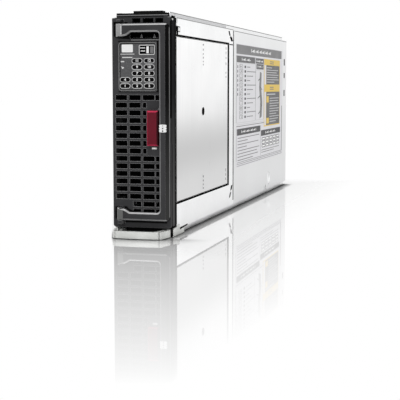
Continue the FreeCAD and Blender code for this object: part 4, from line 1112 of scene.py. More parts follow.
@dataclass
class BezelFittings:
    """Small fittings on the moulded front: a latch clip, flank hooks, painted shadows and highlights."""

    # Thickness of the painted shadow films
    groove: float = 0.02
    clip: Box = ((8.4, 12.6), (70.9, 72.6))
    # Gusset and ledge in highlight grey: painted highlights by the latch and above the status plate
    gusset: tuple[Point, ...] = ((13.4, 102.5), (15.6, 102.5), (15.6, 105.6))
    ledge: Box = ((-8.8, 15.4), (157.75, 158.5))
    # Painted shadow round the handle's hinge ends, upper and lower
    upper_groove: tuple[Point, ...] = ((-23.4, 172.6), (-23.4, 162.1), (-22.2, 160.2), (-19.3, 159.5),
                                       (-13.4, 158.9), (-9.6, 158.6), (-9.6, 166.2), (-21.6, 166.2),
                                       (-21.6, 172.6))
    lower_groove: tuple[Point, ...] = ((-23.2, 23.9), (-23.2, 14.0), (-21.8, 14.0), (-21.8, 19.0),
                                       (-6.5, 19.0), (-6.5, 20.9), (-8.0, 21.0), (-11.8, 22.3),
                                       (-13.1, 24.3))
    # Painted shadow lines under the ridge, by the ledge, under the handle, by the hinges and at the right
    # edge
    grooves: tuple[Box, ...] = (((-20.6, 18.8), (176.2, 176.9)), ((-9.5, 15.6), (158.6, 159.55)),
                                ((-14.4, 20.9), (11.2, 12.5)), ((-14.5, -11.6), (171.0, 172.3)),
                                ((-23.4, -20.6), (171.0, 172.3)), ((23.75, 24.75), (96.0, 173.0)))
    # Painted shadow bar across the upper hinge, in front of the handle
    knuckle_line: Box = ((-20.4, -14.7), (171.15, 172.4))
    knuckle_level: float = 4.61
    # Fainter painted shade at the right edge below the shadow line
    corner_band: Box = ((23.75, 24.75), (58.0, 96.0))
    # Vents, with painted shade round each
    vents: tuple[Span, ...] = ((-7.35, -1.1), (1.45, 9.8), (11.9, 17.9))
    vent_up: Span = (171.65, 175.35)
    vent_line: float = 0.35
    flank: float = 24.2
    hooks: tuple[float, ...] = (150.2, 138.8, 47.4, 34.8)
    hook_across: Span = (12.3, 14.2)
    hook_half: float = 0.9
    # Painted shade by the right foot
    foot: tuple[Point, ...] = ((-0.2, 0.5), (4.0, 0.5), (4.0, 9.0), (1.0, 9.0), (1.0, 7.0), (-0.2, 6.8))
    # Painted shade bands on the flank
    bands: tuple[Box, ...] = (((0.6, 2.4), (9.2, 75.0)), ((0.1, 1.4), (75.0, 175.0)),
                              ((9.4, 11.15), (8.4, 175.6)), ((3.6, 11.15), (7.05, 8.2)))
    band_base: float = 0.59
    # Painted shade along the flank's top
    brow: tuple[Point, ...] = ((1.2, 175.6), (11.1, 175.6), (11.1, 176.9), (4.0, 177.2), (1.2, 176.6))
    pin: Box = ((2.0, 5.2), (173.6, 174.9))

    def build(self) -> None:
        """Makes the fittings and adds them to the drawer."""
        self.front()
        self.side()

    def front(self) -> None:
        """Makes the clip, highlight-grey gusset and ledge, and painted shadow round the handle and the
        vents.
        """
        front = Sketch(Face.FRONT, 0.0)
        front.use(SILVER).slab(*self.clip, 0.5, rounding=0.5, rim=0.25)
        # Painted highlights: the gusset and the ledge
        front.use(HIGHLIGHT_GREY).polygon(self.gusset, 0.4, rim=0.15)
        front.slab(*self.ledge, 0.12)
        # Painted shadow by the handle and the hinges
        front.use(SHADOW_INK)
        for points in (self.upper_groove, self.lower_groove):
            front.polygon(points, self.groove)
        for across, up in self.grooves:
            front.slab(across, up, self.groove)
        front.slab(*self.knuckle_line, self.groove, self.knuckle_level)
        # Fainter painted shade at the right edge
        front.use(DARK_INK).slab(*self.corner_band, self.groove)
        # Painted shade round the vents
        front.use(SHADOW_INK)
        for left, right in self.vents:
            across = (left - self.vent_line, right + self.vent_line)
            front.outline(across, self.vent_up, self.vent_line, self.groove)
        front.piece("bezel_fittings", "drawer", "black_moulding")

    def side(self) -> None:
        """Makes the hooks, the painted shade bands and brow, and the painted shade by the right foot."""
        side = Sketch(Face.RIGHT, self.flank).use(BLACK_SHEET_AND_SHADE)
        for z in self.hooks:
            up = (z - self.hook_half, z + self.hook_half)
            side.slab(self.hook_across, up, 0.85, rounding=0.5, rim=0.2)
        # Painted shade by the foot, bands and brow
        side.polygon(self.foot, 0.55, 0.03)
        for across, up in self.bands:
            side.slab(across, up, self.groove, self.band_base)
        side.polygon(self.brow, 0.6, 0.02)
        side.use(SILVER).slab(*self.pin, 0.2, 0.55, 0.5, 0.08)
        side.piece("flank_fittings", "drawer", "black_moulding")


@dataclass
class CaseMarks:
    """Seams, slits, tab ends and edge lines on the sheet metal's right side, with painted shade in the gaps.
    """

    frame_face: float = 25.0
    panel_face: float = 24.6
    ridge_face: float = 19.5
    line: float = 0.03
    # Seams, slits and notch drawn black: painted shade in the gaps
    seams: tuple[Box, ...] = (((14.35, 19.2), (163.05, 164.95)), ((18.05, 19.2), (164.95, 169.8)),
                              ((195.4, 212.0), (161.0, 162.0)), ((210.2, 212.45), (9.0, 175.4)))
    slits: tuple[tuple[Point, Point, float], ...] = (
        ((191.2, 174.0), (194.6, 169.8), 5.0), ((196.6, 168.8), (202.4, 164.6), 8.0),
        ((194.6, 12.6), (199.2, 17.4), 5.0), ((200.2, 19.4), (203.2, 24.0), 6.0))
    slit_slope: float = 0.4
    foot_slit: tuple[Point, ...] = ((23.0, 3.6), (46.0, 4.6), (46.0, 5.8), (23.0, 5.2))
    notch: tuple[Box, ...] = (((19.2, 24.6), (168.8, 169.5)), ((19.2, 24.6), (165.0, 165.7)),
                              ((23.9, 24.6), (165.0, 169.5)), ((14.4, 17.9), (162.4, 169.7)))
    edge_lines: tuple[Box, ...] = (((15.4, 16.6), (172.2, 176.2)), ((15.8, 212.2), (175.75, 176.4)))
    notch_tag: Box = ((19.5, 23.6), (165.9, 168.7))
    notch_tab: Box = ((14.45, 17.9), (169.6, 171.5))
    ridge_edge: Box = ((14.6, 492.2), (180.2, 180.9))
    # Pale film that darkens the ridge's side: painted shade
    ridge_light: Box = ((14.6, 204.0), (176.7, 180.1))
    near_tabs: tuple[Span, ...] = ((156.8, 158.4), (152.6, 154.2), (149.0, 150.2), (145.6, 147.2),
                                   (142.4, 143.6), (139.6, 141.0), (40.6, 42.4), (37.0, 38.6),
                                   (33.6, 35.0), (30.4, 31.8))
    far_tabs: tuple[Span, ...] = ((156.0, 158.4), (151.6, 154.2), (147.2, 149.0), (141.4, 144.0),
                                  (133.2, 135.2), (129.4, 131.0), (39.6, 42.6), (35.4, 37.8),
                                  (31.2, 33.6))
    tab_middles: Span = (99.1, 183.0)
    # Black disc in a hole of the drawer's wall: painted shade
    stud: Point = (98.9, 99.4)
    # Black lines along the wall's window edges: painted shade in the gaps
    wall_edges: tuple[Box, ...] = (((189.4, 190.4), (27.2, 161.2)), ((16.0, 190.4), (160.9, 161.3)),
                                   ((16.0, 190.4), (27.1, 27.5)))
    # Painted shade in the cover's seam and slots
    cover_seam: Box = ((213.0, 213.7), (9.0, 175.4))
    cover_slots: tuple[Span, ...] = ((146.4, 154.2), (131.3, 137.4), (109.4, 116.7))
    cover_slot_across: Span = (476.4, 482.2)
    cover_fold: Box = ((215.0, 492.0), (175.0, 175.6))

    def build(self) -> None:
        """Makes the marks on the case, the ridge, the drawer's wall and the cover."""
        self.case()
        self.ridge()
        self.wall()
        self.cover()

    def case(self) -> None:
        """Makes painted shade in the seams, the slits and the notch on the frame round the window."""
        # Painted shade in the seams, slits and notch
        case = Sketch(Face.RIGHT, self.frame_face).use(SHADOW_INK)
        for across, up in self.seams:
            case.slab(across, up, self.line)
        for start, end, wide in self.slits:
            beside = [(y + wide, z + self.slit_slope) for y, z in (end, start)]
            case.polygon([start, end, *beside], self.line)
        case.polygon(self.foot_slit, self.line)
        for across, up in self.notch:
            case.slab(across, up, self.line)
        case.use(GREY_INK)
        for across, up in self.edge_lines:
            case.slab(across, up, self.line)
        case.use(WHITE_INK).slab(*self.notch_tag, 0.12, rounding=0.3)
        case.use(STEEL).slab(*self.notch_tab, 0.95, -0.97)
        case.piece("case_marks", "chassis", "sheet_steel")

    def ridge(self) -> None:
        """Makes a grey line and a band of painted shade along the ridge."""
        ridge = Sketch(Face.RIGHT, self.ridge_face)
        ridge.use(GREY_INK).slab(*self.ridge_edge, self.line)
        # Painted shade band on the ridge's side
        ridge.use(PALE_INK).slab(*self.ridge_light, self.line)
        ridge.piece("ridge_lines", "chassis", "sheet_steel")

    def wall(self) -> None:
        """Makes the tab ends and painted shade in the hole and along the edges of the drawer's wall."""
        wall = Sketch(Face.RIGHT, self.panel_face)
        near, far = self.tab_middles
        for finish, middle, rows in ((DARK_INK, near, self.near_tabs), (GREY_INK, far, self.far_tabs)):
            for up in rows:
                wall.use(finish).slab((middle - 1.0, middle + 1.0), up, self.line, rounding=0.3)
        # Painted shade in the hole and along the edges
        wall.use(BLACK_SHEET_AND_SHADE).disc(self.stud, 3.6, 0.25, rim=0.12)
        for across, up in self.wall_edges:
            wall.slab(across, up, self.line)
        wall.piece("wall_marks", "drawer", "brushed_steel")

    def cover(self) -> None:
        """Makes painted shade in the seam and the slots, and the fold line on the access cover."""
        cover = Sketch(Face.RIGHT, self.frame_face).use(SHADOW_INK)
        cover.slab(*self.cover_seam, self.line)
        # Slots drawn black: painted shade
        for up in self.cover_slots:
            cover.slab(self.cover_slot_across, up, self.line, rounding=0.8)
        cover.use(GREY_INK).slab(*self.cover_fold, self.line)
        cover.piece("cover_marks", "cover", "sheet_steel")


@dataclass
class DarkLinings:
    """Dark sheets and films laid as painted shade behind the grille and in the gaps round the drawer."""

    # Dark sheet behind the grille: painted shade
    screen_level: float = -13.25
    screen: Box = ((-17.4, 17.4), (29.0, 175.4))
    screen_thick: float = 0.35
    # Dark sheets in the gaps round the window: painted shade
    seal_level: float = 22.9
    seals: tuple[tuple[Box, float], ...] = (
        (((16.0, 199.0), (161.7, 165.0)), 0.8), (((16.0, 199.0), (22.0, 26.7)), 0.8),
        (((191.0, 199.0), (26.7, 161.7)), 0.8), (((14.6, 19.6), (163.6, 173.0)), 0.9))
    film: float = 0.04
    # Black films on the edges beside the gaps: painted shade
    edges: tuple[tuple[str, str, Face, float, tuple[Box, ...]], ...] = (
        ("case_front_seal", "chassis", Face.FRONT, -14.3,
         (((23.85, 24.97), (9.0, 25.2)), ((23.85, 24.97), (163.2, 164.9)),
          ((23.85, 24.97), (171.8, 175.8)))),
        ("window_rear_seal", "chassis", Face.FRONT, -194.5, (((23.85, 24.97), (25.6, 162.8)),)),
        ("window_sill_seal", "chassis", Face.TOP, 25.4, (((23.85, 24.97), (14.6, 194.3)),)),
        ("panel_front_seal", "drawer", Face.FRONT, -14.3, (((23.3, 24.58), (27.2, 161.2)),)),
        ("panel_edge_seal", "drawer", Face.RIGHT, 24.6, (((14.35, 15.6), (27.2, 161.2)),)),
    )

    def build(self) -> None:
        """Makes the dark sheet behind the grille and the sheets and films of painted shade in the gaps."""
        screen = Sketch(Face.FRONT, self.screen_level).use(BLACK_SHEET_AND_SHADE)
        screen.slab(*self.screen, self.screen_thick)
        screen.piece("grille_shade_sheet", "drawer", "drawer_steel")
        seals = Sketch(Face.RIGHT, self.seal_level).use(BLACK_SHEET_AND_SHADE)
        for (across, up), thick in self.seals:
            seals.slab(across, up, thick)
        seals.piece("window_gap_shades", "chassis", "foam_gasket")
        for name, body, face, level, shapes in self.edges:
            edge = Sketch(face, level).use(SHADOW_INK)
            for across, up in shapes:
                edge.slab(across, up, self.film)
            edge.piece(name, body, "foam_gasket")


@dataclass
class LatchSpring:
    """Leaf spring behind the latch."""

    solid: str = "latch_spring"
    name: str = "latch_leaf"

    def build(self) -> None:
        """Makes the leaf from its solid in turned steel and hides the solid."""
        leaf = bmesh.new()
        leaf.from_mesh(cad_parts[self.solid].data)
        bmesh.ops.remove_doubles(leaf, verts=leaf.verts, dist=1e-6)
        data = bpy.data.meshes.new(self.name)
        leaf.to_mesh(data)
        leaf.free()
        data.materials.append(WARDROBE.get(PIN_STEEL))
        made = bpy.data.objects.new(self.name, data)
        bpy.context.scene.collection.objects.link(made)
        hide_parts(self.solid)
        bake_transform(made)
        LOG.info("%s between drawer and latch, %d faces", self.name, len(data.polygons))


@dataclass
class DriveTops:
    """Numbered labels and release tabs on top of the drive carriers."""

    drives: int = 12
    film: float = 0.05
    label: Box = ((-5.4, 5.4), (14.5, 25.0))
    figure: float = 5.6
    figure_shift: float = -1.4
    rules: int = 4
    rule_left: float = 2.0
    rule_right: float = 4.2
    rule_low: float = 2.0
    rule_step: float = 1.9
    rule_weight: float = 0.9
    tab: Box = ((-4.6, 4.6), (26.6, 33.4))
    tab_rise: float = 1.2
    ribs: int = 3
    rib_half: float = 3.2
    rib_low: float = 1.5
    rib_step: float = 1.7
    rib_weight: float = 0.6

    def build(self) -> None:
        """Makes the labels and tabs and adds them to the drawer."""
        sheet = Sketch(Face.TOP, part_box("drive_carriers")[1].z / MM)
        for number in range(1, self.drives + 1):
            low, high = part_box(f"disk_drive_{number:02d}")
            x = (low.x + high.x) / 2 / MM
            y = (low.y + high.y) / 2 / MM - BEZEL_FACE
            self.paper(sheet, number, x, y)
            self.release(sheet, x, y)
        sheet.piece("drive_tops", "drawer", "carrier_moulding")

    def paper(self, sheet: Sketch, number: int, x: float, y: float) -> None:
        """Prints one drive's label, with its number and ruled lines.

        Args:
            sheet: Sketch that it goes on.
            number: Number of the drive.
            x: Middle of the drive, across.
            y: Middle of the drive, back from the bezel's face.
        """
        (left, right), (near, far) = self.label
        sheet.use(PAPER).slab((x + left, x + right), (y + near, y + far), self.film, rounding=0.8)
        middle = (x + self.figure_shift, y + (near + far) / 2)
        sheet.use(DARK_INK).numeral(number, middle, self.figure, self.film + 0.03, 0.05)
        sheet.use(GREY_INK)
        for rule in range(self.rules):
            across = (x + self.rule_left, x + self.rule_right + 0.4 * (rule % 2))
            start = y + near + self.rule_low + rule * self.rule_step
            sheet.slab(across, (start, start + self.rule_weight), 0.02, self.film)

    def release(self, sheet: Sketch, x: float, y: float) -> None:
        """Makes one drive's release tab with dark ribs.

        Args:
            sheet: Sketch that it goes on.
            x: Middle of the drive, across.
            y: Middle of the drive, back from the bezel's face.
        """
        (left, right), (near, far) = self.tab
        sheet.use(RED).slab((x + left, x + right), (y + near, y + far), self.tab_rise, rounding=1.2, rim=0.4)
        sheet.use(SHADOW_INK)
        for rib in range(self.ribs):
            start = y + near + self.rib_low + rib * self.rib_step
            across = (x - self.rib_half, x + self.rib_half)
            sheet.slab(across, (start, start + self.rib_weight), 0.03, self.tab_rise)


@dataclass
class OuterMarks:
    """Rivets, vents in painted shade, seams and plain plates on the left, the top and the rear of the case.
    """

    line: float = 0.03
    print_film: float = 0.01
    rivet: float = 2.2
    left_face: float = 25.0
    left_rivets: tuple[tuple[float, ...], tuple[float, ...]] = (
        (24.0, 118.0, 204.0, 222.0, 316.0, 410.0, 484.0), (13.0, 168.0))
    # Beads drawn as grey and pale outlines: painted shade and highlight of a raised bead
    beads: tuple[Box, ...] = (((-198.0, -36.0), (134.0, 142.0)), ((-198.0, -36.0), (40.0, 48.0)),
                              ((-402.0, -228.0), (134.0, 142.0)), ((-402.0, -228.0), (40.0, 48.0)))
    bead_inset: float = 0.8
    # Vent slots drawn black: painted shade in holes
    slot: Span = (5.6, 2.6)
    slot_pitch: Span = (8.4, 6.4)
    slot_grid: tuple[int, int] = (7, 13)
    slot_start: Point = (-480.0, 50.0)
    left_seams: tuple[Box, ...] = (((-213.1, -212.5), (7.4, 176.0)), ((-492.0, -15.0), (7.0, 7.4)))
    left_plate: Box = ((-188.0, -122.0), (72.0, 110.0))
    top_face: float = 181.0
    top_rivets: tuple[tuple[float, ...], tuple[float, ...]] = (
        (52.0, 160.0, 268.0, 376.0, 472.0), (-14.5, 13.0))
    top_seams: tuple[Box, ...] = (((-18.6, -18.2), (16.0, 491.0)), ((17.0, 17.4), (16.0, 491.0)),
                                  ((-20.5, 19.0), (212.4, 212.9)))
    rear_face: float = 492.5
    rear_screws: tuple[Point, ...] = ((20.6, 11.0), (-19.0, 11.0), (20.6, 170.0), (-19.0, 170.0),
                                      (-14.2, 54.0))
    plug_frames: tuple[Box, ...] = (((-21.0, -7.4), (16.8, 47.2)), ((-21.0, -7.4), (60.8, 119.2)))
    rear_plate: Box = ((-20.6, -8.0), (126.0, 162.0))
    plug_middle: float = -14.2
    contact_base: float = 486.4
    contact_length: float = 5.0
    contact_steps: tuple[float, ...] = (-2.4, -0.8, 0.8, 2.4)
    contact_half: float = 0.4
    plug_rows: tuple[tuple[float, float, int], ...] = ((65.0, 5.0, 10), (21.0, 22.0 / 3.0, 3))

    def build(self) -> None:
        """Makes the marks and adds them to the case."""
        self.left()
        self.top()
        self.rear()
        self.contacts()

    def fasten(self, sheet: Sketch, middle: Point) -> None:
        """Makes a flush rivet in a fine dark ring."""
        sheet.use(GREY_INK).disc(middle, self.rivet, self.line * 0.6)
        sheet.use(PIN_STEEL).disc(middle, self.rivet * 0.82, 0.07, rim=0.06)

    def plate(self, sheet: Sketch, across: Span, up: Span, rows: int) -> None:
        """Prints a plain plate with a dark heading and ruled lines.

        Args:
            sheet: Sketch that it goes on.
            across: Its left and right.
            up: Its bottom and top.
            rows: Number of ruled lines.
        """
        (left, right), (low, high) = across, up
        inset = (right - left) * 0.08
        step = (high - low) / (rows + 2)
        sheet.use(PAPER).slab(across, up, self.line, rounding=1.2)
        heading = (high - step * 1.4, high - step * 0.5)
        sheet.use(DARK_INK).slab((left + inset, right - inset), heading, self.print_film, self.line)
        for row in range(rows):
            z = high - step * (2.2 + row)
            far = right - inset * (1.0 + 2.5 * (row % 3))
            sheet.use(GREY_INK).slab((left + inset, far), (z, z + step * 0.3), self.print_film, self.line)

    def left(self) -> None:
        """Makes the beads and vents in painted shade and highlight, the rivets and plate on the left wall.
        """
        wall = Sketch(Face.LEFT, self.left_face)
        # Grey outer line is painted shade, pale inner line a painted highlight
        for (near, far), (low, high) in self.beads:
            wall.use(GREY_INK).outline((near, far), (low, high), 0.45, self.line, rounding=3.6)
            across = (near + self.bead_inset, far - self.bead_inset)
            up = (low + self.bead_inset, high - self.bead_inset)
            wall.use(PALE_INK).outline(across, up, 0.4, self.line, rounding=3.0)
        for y in self.left_rivets[0]:
            for z in self.left_rivets[1]:
                self.fasten(wall, (-y, z))
        # Vent slots in painted shade
        wall.use(SHADOW_INK)
        wide, high = self.slot
        for column in range(self.slot_grid[0]):
            for row in range(self.slot_grid[1]):
                u = self.slot_start[0] + column * self.slot_pitch[0]
                v = self.slot_start[1] + row * self.slot_pitch[1]
                wall.slab((u, u + wide), (v, v + high), self.line, rounding=1.2)
        wall.use(GREY_INK)
        for across, up in self.left_seams:
            wall.slab(across, up, self.line)
        self.plate(wall, *self.left_plate, 6)
        wall.piece("left_wall_marks", "chassis", "sheet_steel")

    def top(self) -> None:
        """Makes the rivets and fold lines on the ridge."""
        ridge = Sketch(Face.TOP, self.top_face)
        for y in self.top_rivets[0]:
            for x in self.top_rivets[1]:
                self.fasten(ridge, (x, y))
        ridge.use(GREY_INK)
        for across, along in self.top_seams:
            ridge.slab(across, along, self.line)
        ridge.piece("ridge_marks", "chassis", "sheet_steel")

    def rear(self) -> None:
        """Makes the screws, plug frames and plate on the rear panel."""
        panel = Sketch(Face.REAR, self.rear_face)
        for place in self.rear_screws:
            panel.use(PIN_STEEL).screw(place, 2.3, 0.09)
        panel.use(GREY_INK)
        for across, up in self.plug_frames:
            panel.outline(across, up, 0.5, self.line, rounding=1.4)
        self.plate(panel, *self.rear_plate, 7)
        panel.piece("rear_panel_marks", "chassis", "sheet_steel")

    def contacts(self) -> None:
        """Makes the gilt contacts in the rear plugs."""
        pins = Sketch(Face.REAR, self.contact_base).use(GILT)
        for low, pitch, rows in self.plug_rows:
            half = pitch * 0.16
            for row in range(rows):
                z = low + pitch * (row + 0.5)
                for step in self.contact_steps:
                    u = self.plug_middle + step
                    across = (u - self.contact_half, u + self.contact_half)
                    pins.slab(across, (z - half, z + half), self.contact_length, rim=0.2)
        pins.piece("plug_contacts", "chassis", "pin_steel")


@dataclass
class ServiceLabel:
    """Printed film on the access cover: coloured fields, ruled lines and a plain diagram."""

    level: float = 25.0
    film: float = 0.05
    ink: float = 0.01
    across: Span = (223.0, 468.0)
    up: Span = (39.6, 163.6)
    headings: tuple[tuple[Ink, Box, Box], ...] = (
        (GREY_INK, ((225.0, 461.0), (153.6, 163.0)), ((293.0, 398.0), (156.6, 160.2))),
        (SLATE_INK, ((226.0, 312.0), (145.2, 151.8)), ((249.0, 296.0), (147.2, 149.9))),
        (SLATE_INK, ((315.5, 357.0), (145.6, 151.4)), ((320.0, 352.0), (147.2, 149.6))),
        (SLATE_INK, ((318.8, 356.2), (139.6, 145.2)), ((325.0, 350.0), (141.6, 143.6))),
    )
    list_rows: int = 12
    list_top: float = 141.4
    list_step: float = 4.65
    leads: tuple[Span, ...] = ((131.0, -12.0), (121.0, 9.0), (112.0, -14.0), (103.0, 8.0), (95.0, -11.0))
    lead_start: float = 340.0
    figure: tuple[Point, ...] = ((336, 86), (347, 88), (350, 104), (344, 120), (346, 136), (337, 137),
                                 (333, 120), (339, 104))
    notice_fields: tuple[tuple[Ink, Box, int], ...] = (
        (YELLOW_INK, ((359.5, 451.0), (76.4, 151.6)), 0),
        (PAPER, ((362.0, 371.0), (77.6, 115.0)), 1),
        (PAPER, ((362.0, 371.0), (123.3, 144.9)), 1),
        (SLATE_INK, ((371.5, 448.6), (123.3, 144.9)), 1),
        (SLATE_INK, ((372.0, 449.4), (77.6, 115.0)), 1),
    )
    notice_signs: tuple[Box, ...] = (((373.5, 386.0), (103.0, 110.0)), ((373.5, 387.5), (79.2, 85.6)))
    upper_notice: tuple[float, ...] = (30.0, 66.0, 58.0, 68.0, 62.0, 70.0, 44.0)
    lower_notice: tuple[float, ...] = (54.0, 50.0, 55.0, 46.0, 55.0, 52.0, 40.0, 55.0, 50.0, 36.0)
    lower_bands: tuple[tuple[Ink, Box, Box], ...] = (
        (DARK_INK, ((228.0, 340.0), (71.8, 78.4)), ((248.0, 322.0), (73.9, 76.4))),
        (DARK_INK, ((344.5, 455.0), (66.4, 72.8)), ((368.0, 428.0), (68.4, 70.9))),
    )
    note_lines: tuple[float, ...] = (104.0, 46.0, 100.0, 42.0, 104.0, 92.0, 98.0, 72.0)
    grid: tuple[int, int] = (3, 5)
    grid_start: Point = (349.5, 64.6)
    grid_pitch: Span = (20.4, 3.9)
    grid_box: Span = (18.0, 3.3)
    rules: tuple[Box, ...] = (
        ((228.0, 466.0), (44.1, 44.6)), ((228.0, 466.0), (42.5, 43.0)), ((228.0, 466.0), (40.7, 41.2)),
        ((462.4, 465.4), (44.0, 98.0)), ((223.6, 224.6), (85.0, 152.0)), ((314.2, 315.0), (85.0, 152.0)),
        ((357.9, 358.7), (85.0, 152.0)), ((225.0, 452.0), (80.6, 81.3)), ((224.6, 225.6), (46.0, 78.4)),
        ((341.8, 342.8), (46.0, 78.4)),
    )
    sheet: Sketch = field(init=False)

    def build(self) -> None:
        """Prints the label and adds it to the cover."""
        self.sheet = Sketch(Face.RIGHT, self.level)
        self.sheet.use(PAPER).slab(self.across, self.up, self.film, rounding=1.5)
        self.bands(self.headings)
        self.part_list()
        self.diagram()
        self.notices()
        self.lower_notes()
        self.sheet.piece("service_label", "cover", "sheet_steel")

    def block(self, finish: Ink, across: Span, up: Span, layer: int = 0) -> None:
        """Prints one field on the film, or on a field under it."""
        self.sheet.use(finish).slab(across, up, self.ink, self.film + layer * self.ink)

    def lines(self, finish: Ink, left: float, lengths: Sequence[float], top: float, step: float,
              weight: float = 0.7, layer: int = 0) -> None:
        """Prints a stack of ruled lines.

        Args:
            finish: Ink of the lines.
            left: Where they all start.
            lengths: Length of each line, from the top down.
            top: Upper edge of the first line.
            step: Distance from one line to the next.
            weight: Thickness of a line.
            layer: Number of fields under them.
        """
        for index, length in enumerate(lengths):
            z = top - index * step
            self.block(finish, (left, left + length), (z - weight, z), layer)

    def words(self, finish: Ink, across: Span, up: Span, layer: int = 1) -> None:
        """Prints a row of short strokes of different widths, in the place of a line of writing.

        Args:
            finish: Ink of the strokes.
            across: Left and right ends of the row.
            up: Bottom and top of the row.
            layer: Number of fields under it.
        """
        low, high = up
        left = across[0]
        for index in range(60):
            wide = 2.2 + 1.5 * ((index * 7) % 3)
            if left + wide > across[1]:
                break
            drop = 0.25 * (high - low) * ((index * 5) % 3)
            self.block(finish, (left, left + wide), (low + drop * 0.4, high - drop), layer)
            left += wide + 1.5 + 2.0 * (index % 4 == 3)

    def bands(self, rows: Sequence[tuple[Ink, Box, Box]]) -> None:
        """Prints dark bands, each with a row of pale strokes on it.

        Args:
            rows: Ink and place of each band, and the place of its strokes.
        """
        for finish, band, row in rows:
            self.block(finish, *band)
            self.words(WHITE_INK, *row)

    def part_list(self) -> None:
        """Prints the ruled list at the left."""
        self.block(PALE_INK, (226.0, 314.0), (84.2, 144.6))
        self.block(PAPER, (226.8, 313.2), (84.8, 144.2), 1)
        for row in range(self.list_rows):
            z = self.list_top - row * self.list_step
            self.block(DARK_INK, (261.0, 268.0), (z - 1.5, z + 0.9), 2)
            self.block(GREY_INK, (272.5, 288.0 + 14.0 * ((row * 5) % 3)), (z - 0.7, z + 0.1), 2)
            self.block(GREY_INK, (238.5, 253.5), (z - 2.0, z + 1.8), 2)
            self.block(PAPER, (240.2, 251.8), (z - 1.6, z + 1.4), 3)
            self.block(GREY_INK, (242.0 + 2.0 * (row % 3), 247.0 + 2.0 * (row % 2)), (z - 0.8, z + 0.5), 4)
        for row in range(7):
            self.block(DARK_INK, (229.0, 232.0), (139.5 - row * 4.6, 142.2 - row * 4.6), 2)

    def diagram(self) -> None:
        """Prints a plain upright drawing with short leads."""
        self.block(PALE_INK, (316.0, 357.5), (84.5, 138.5))
        self.block(PAPER, (317.0, 356.6), (85.2, 138.0), 1)
        self.sheet.use(GREY_INK).polygon(self.figure, self.ink, self.film + 2 * self.ink)
        self.sheet.use(DARK_INK)
        start = self.lead_start
        for z, reach in self.leads:
            tip = start + reach
            self.sheet.polygon([(start, z), (tip, z - 3.2), (tip, z - 4.2), (start, z - 1.2)], self.ink,
                               self.film + 3 * self.ink)

    def notices(self) -> None:
        """Prints the two framed notices on yellow."""
        for finish, place, layer in self.notice_fields:
            self.block(finish, *place, layer)
        for top in (149.6, 120.6):
            self.lines(GREY_INK, 392.0, (22.0, 22.0), top, 2.2, 1.0, 1)
        self.lines(PALE_INK, 374.0, self.upper_notice, 142.6, 2.7, 0.8, 2)
        self.lines(PALE_INK, 376.0, (48.0,), 112.8, 2.7, 1.2, 2)
        self.lines(PALE_INK, 391.0, self.lower_notice, 108.0, 2.95, 0.8, 2)
        for place in self.notice_signs:
            self.block(YELLOW_INK, *place, 2)

    def lower_notes(self) -> None:
        """Prints the two lower bands with their lines and the grid of small boxes."""
        self.block(PALE_INK, (227.0, 358.0), (82.4, 83.0))
        self.bands(self.lower_bands)
        self.lines(GREY_INK, 231.0, self.note_lines, 69.4, 3.2, 0.8)
        wide, high = self.grid_box
        for row in range(self.grid[0]):
            for column in range(self.grid[1]):
                left = self.grid_start[0] + column * self.grid_pitch[0]
                top = self.grid_start[1] - row * self.grid_pitch[1]
                self.block(DARK_INK, (left, left + wide), (top - high, top))
                self.block(WHITE_INK, (left + 1.8, left + wide - 1.8), (top - 2.6, top - 0.7), 1)
        self.lines(GREY_INK, 347.0, (102.0, 70.0), 51.0, 2.4, 0.7)
        for place in self.rules:
            self.block(GREY_INK, *place)


@dataclass(frozen=True)
class Lamp:
    """Soft lamp that faces a point, with its sizes in metres."""

    name: str
    place: tuple[float, float, float]
    aim: tuple[float, float, float]
    size: Span
    power: float

    def build(self) -> None:
        """Adds the lamp to the scene."""
        data = bpy.data.lights.new(self.name, "AREA")
        data.shape = "RECTANGLE"
        data.size, data.size_y = self.size
        data.energy = self.power
        lamp = bpy.data.objects.new(self.name, data)
        lamp.location = self.place
        lamp.rotation_euler = (Vector(self.aim) - Vector(self.place)).to_track_quat("-Z", "Y").to_euler()
        bpy.context.scene.collection.objects.link(lamp)


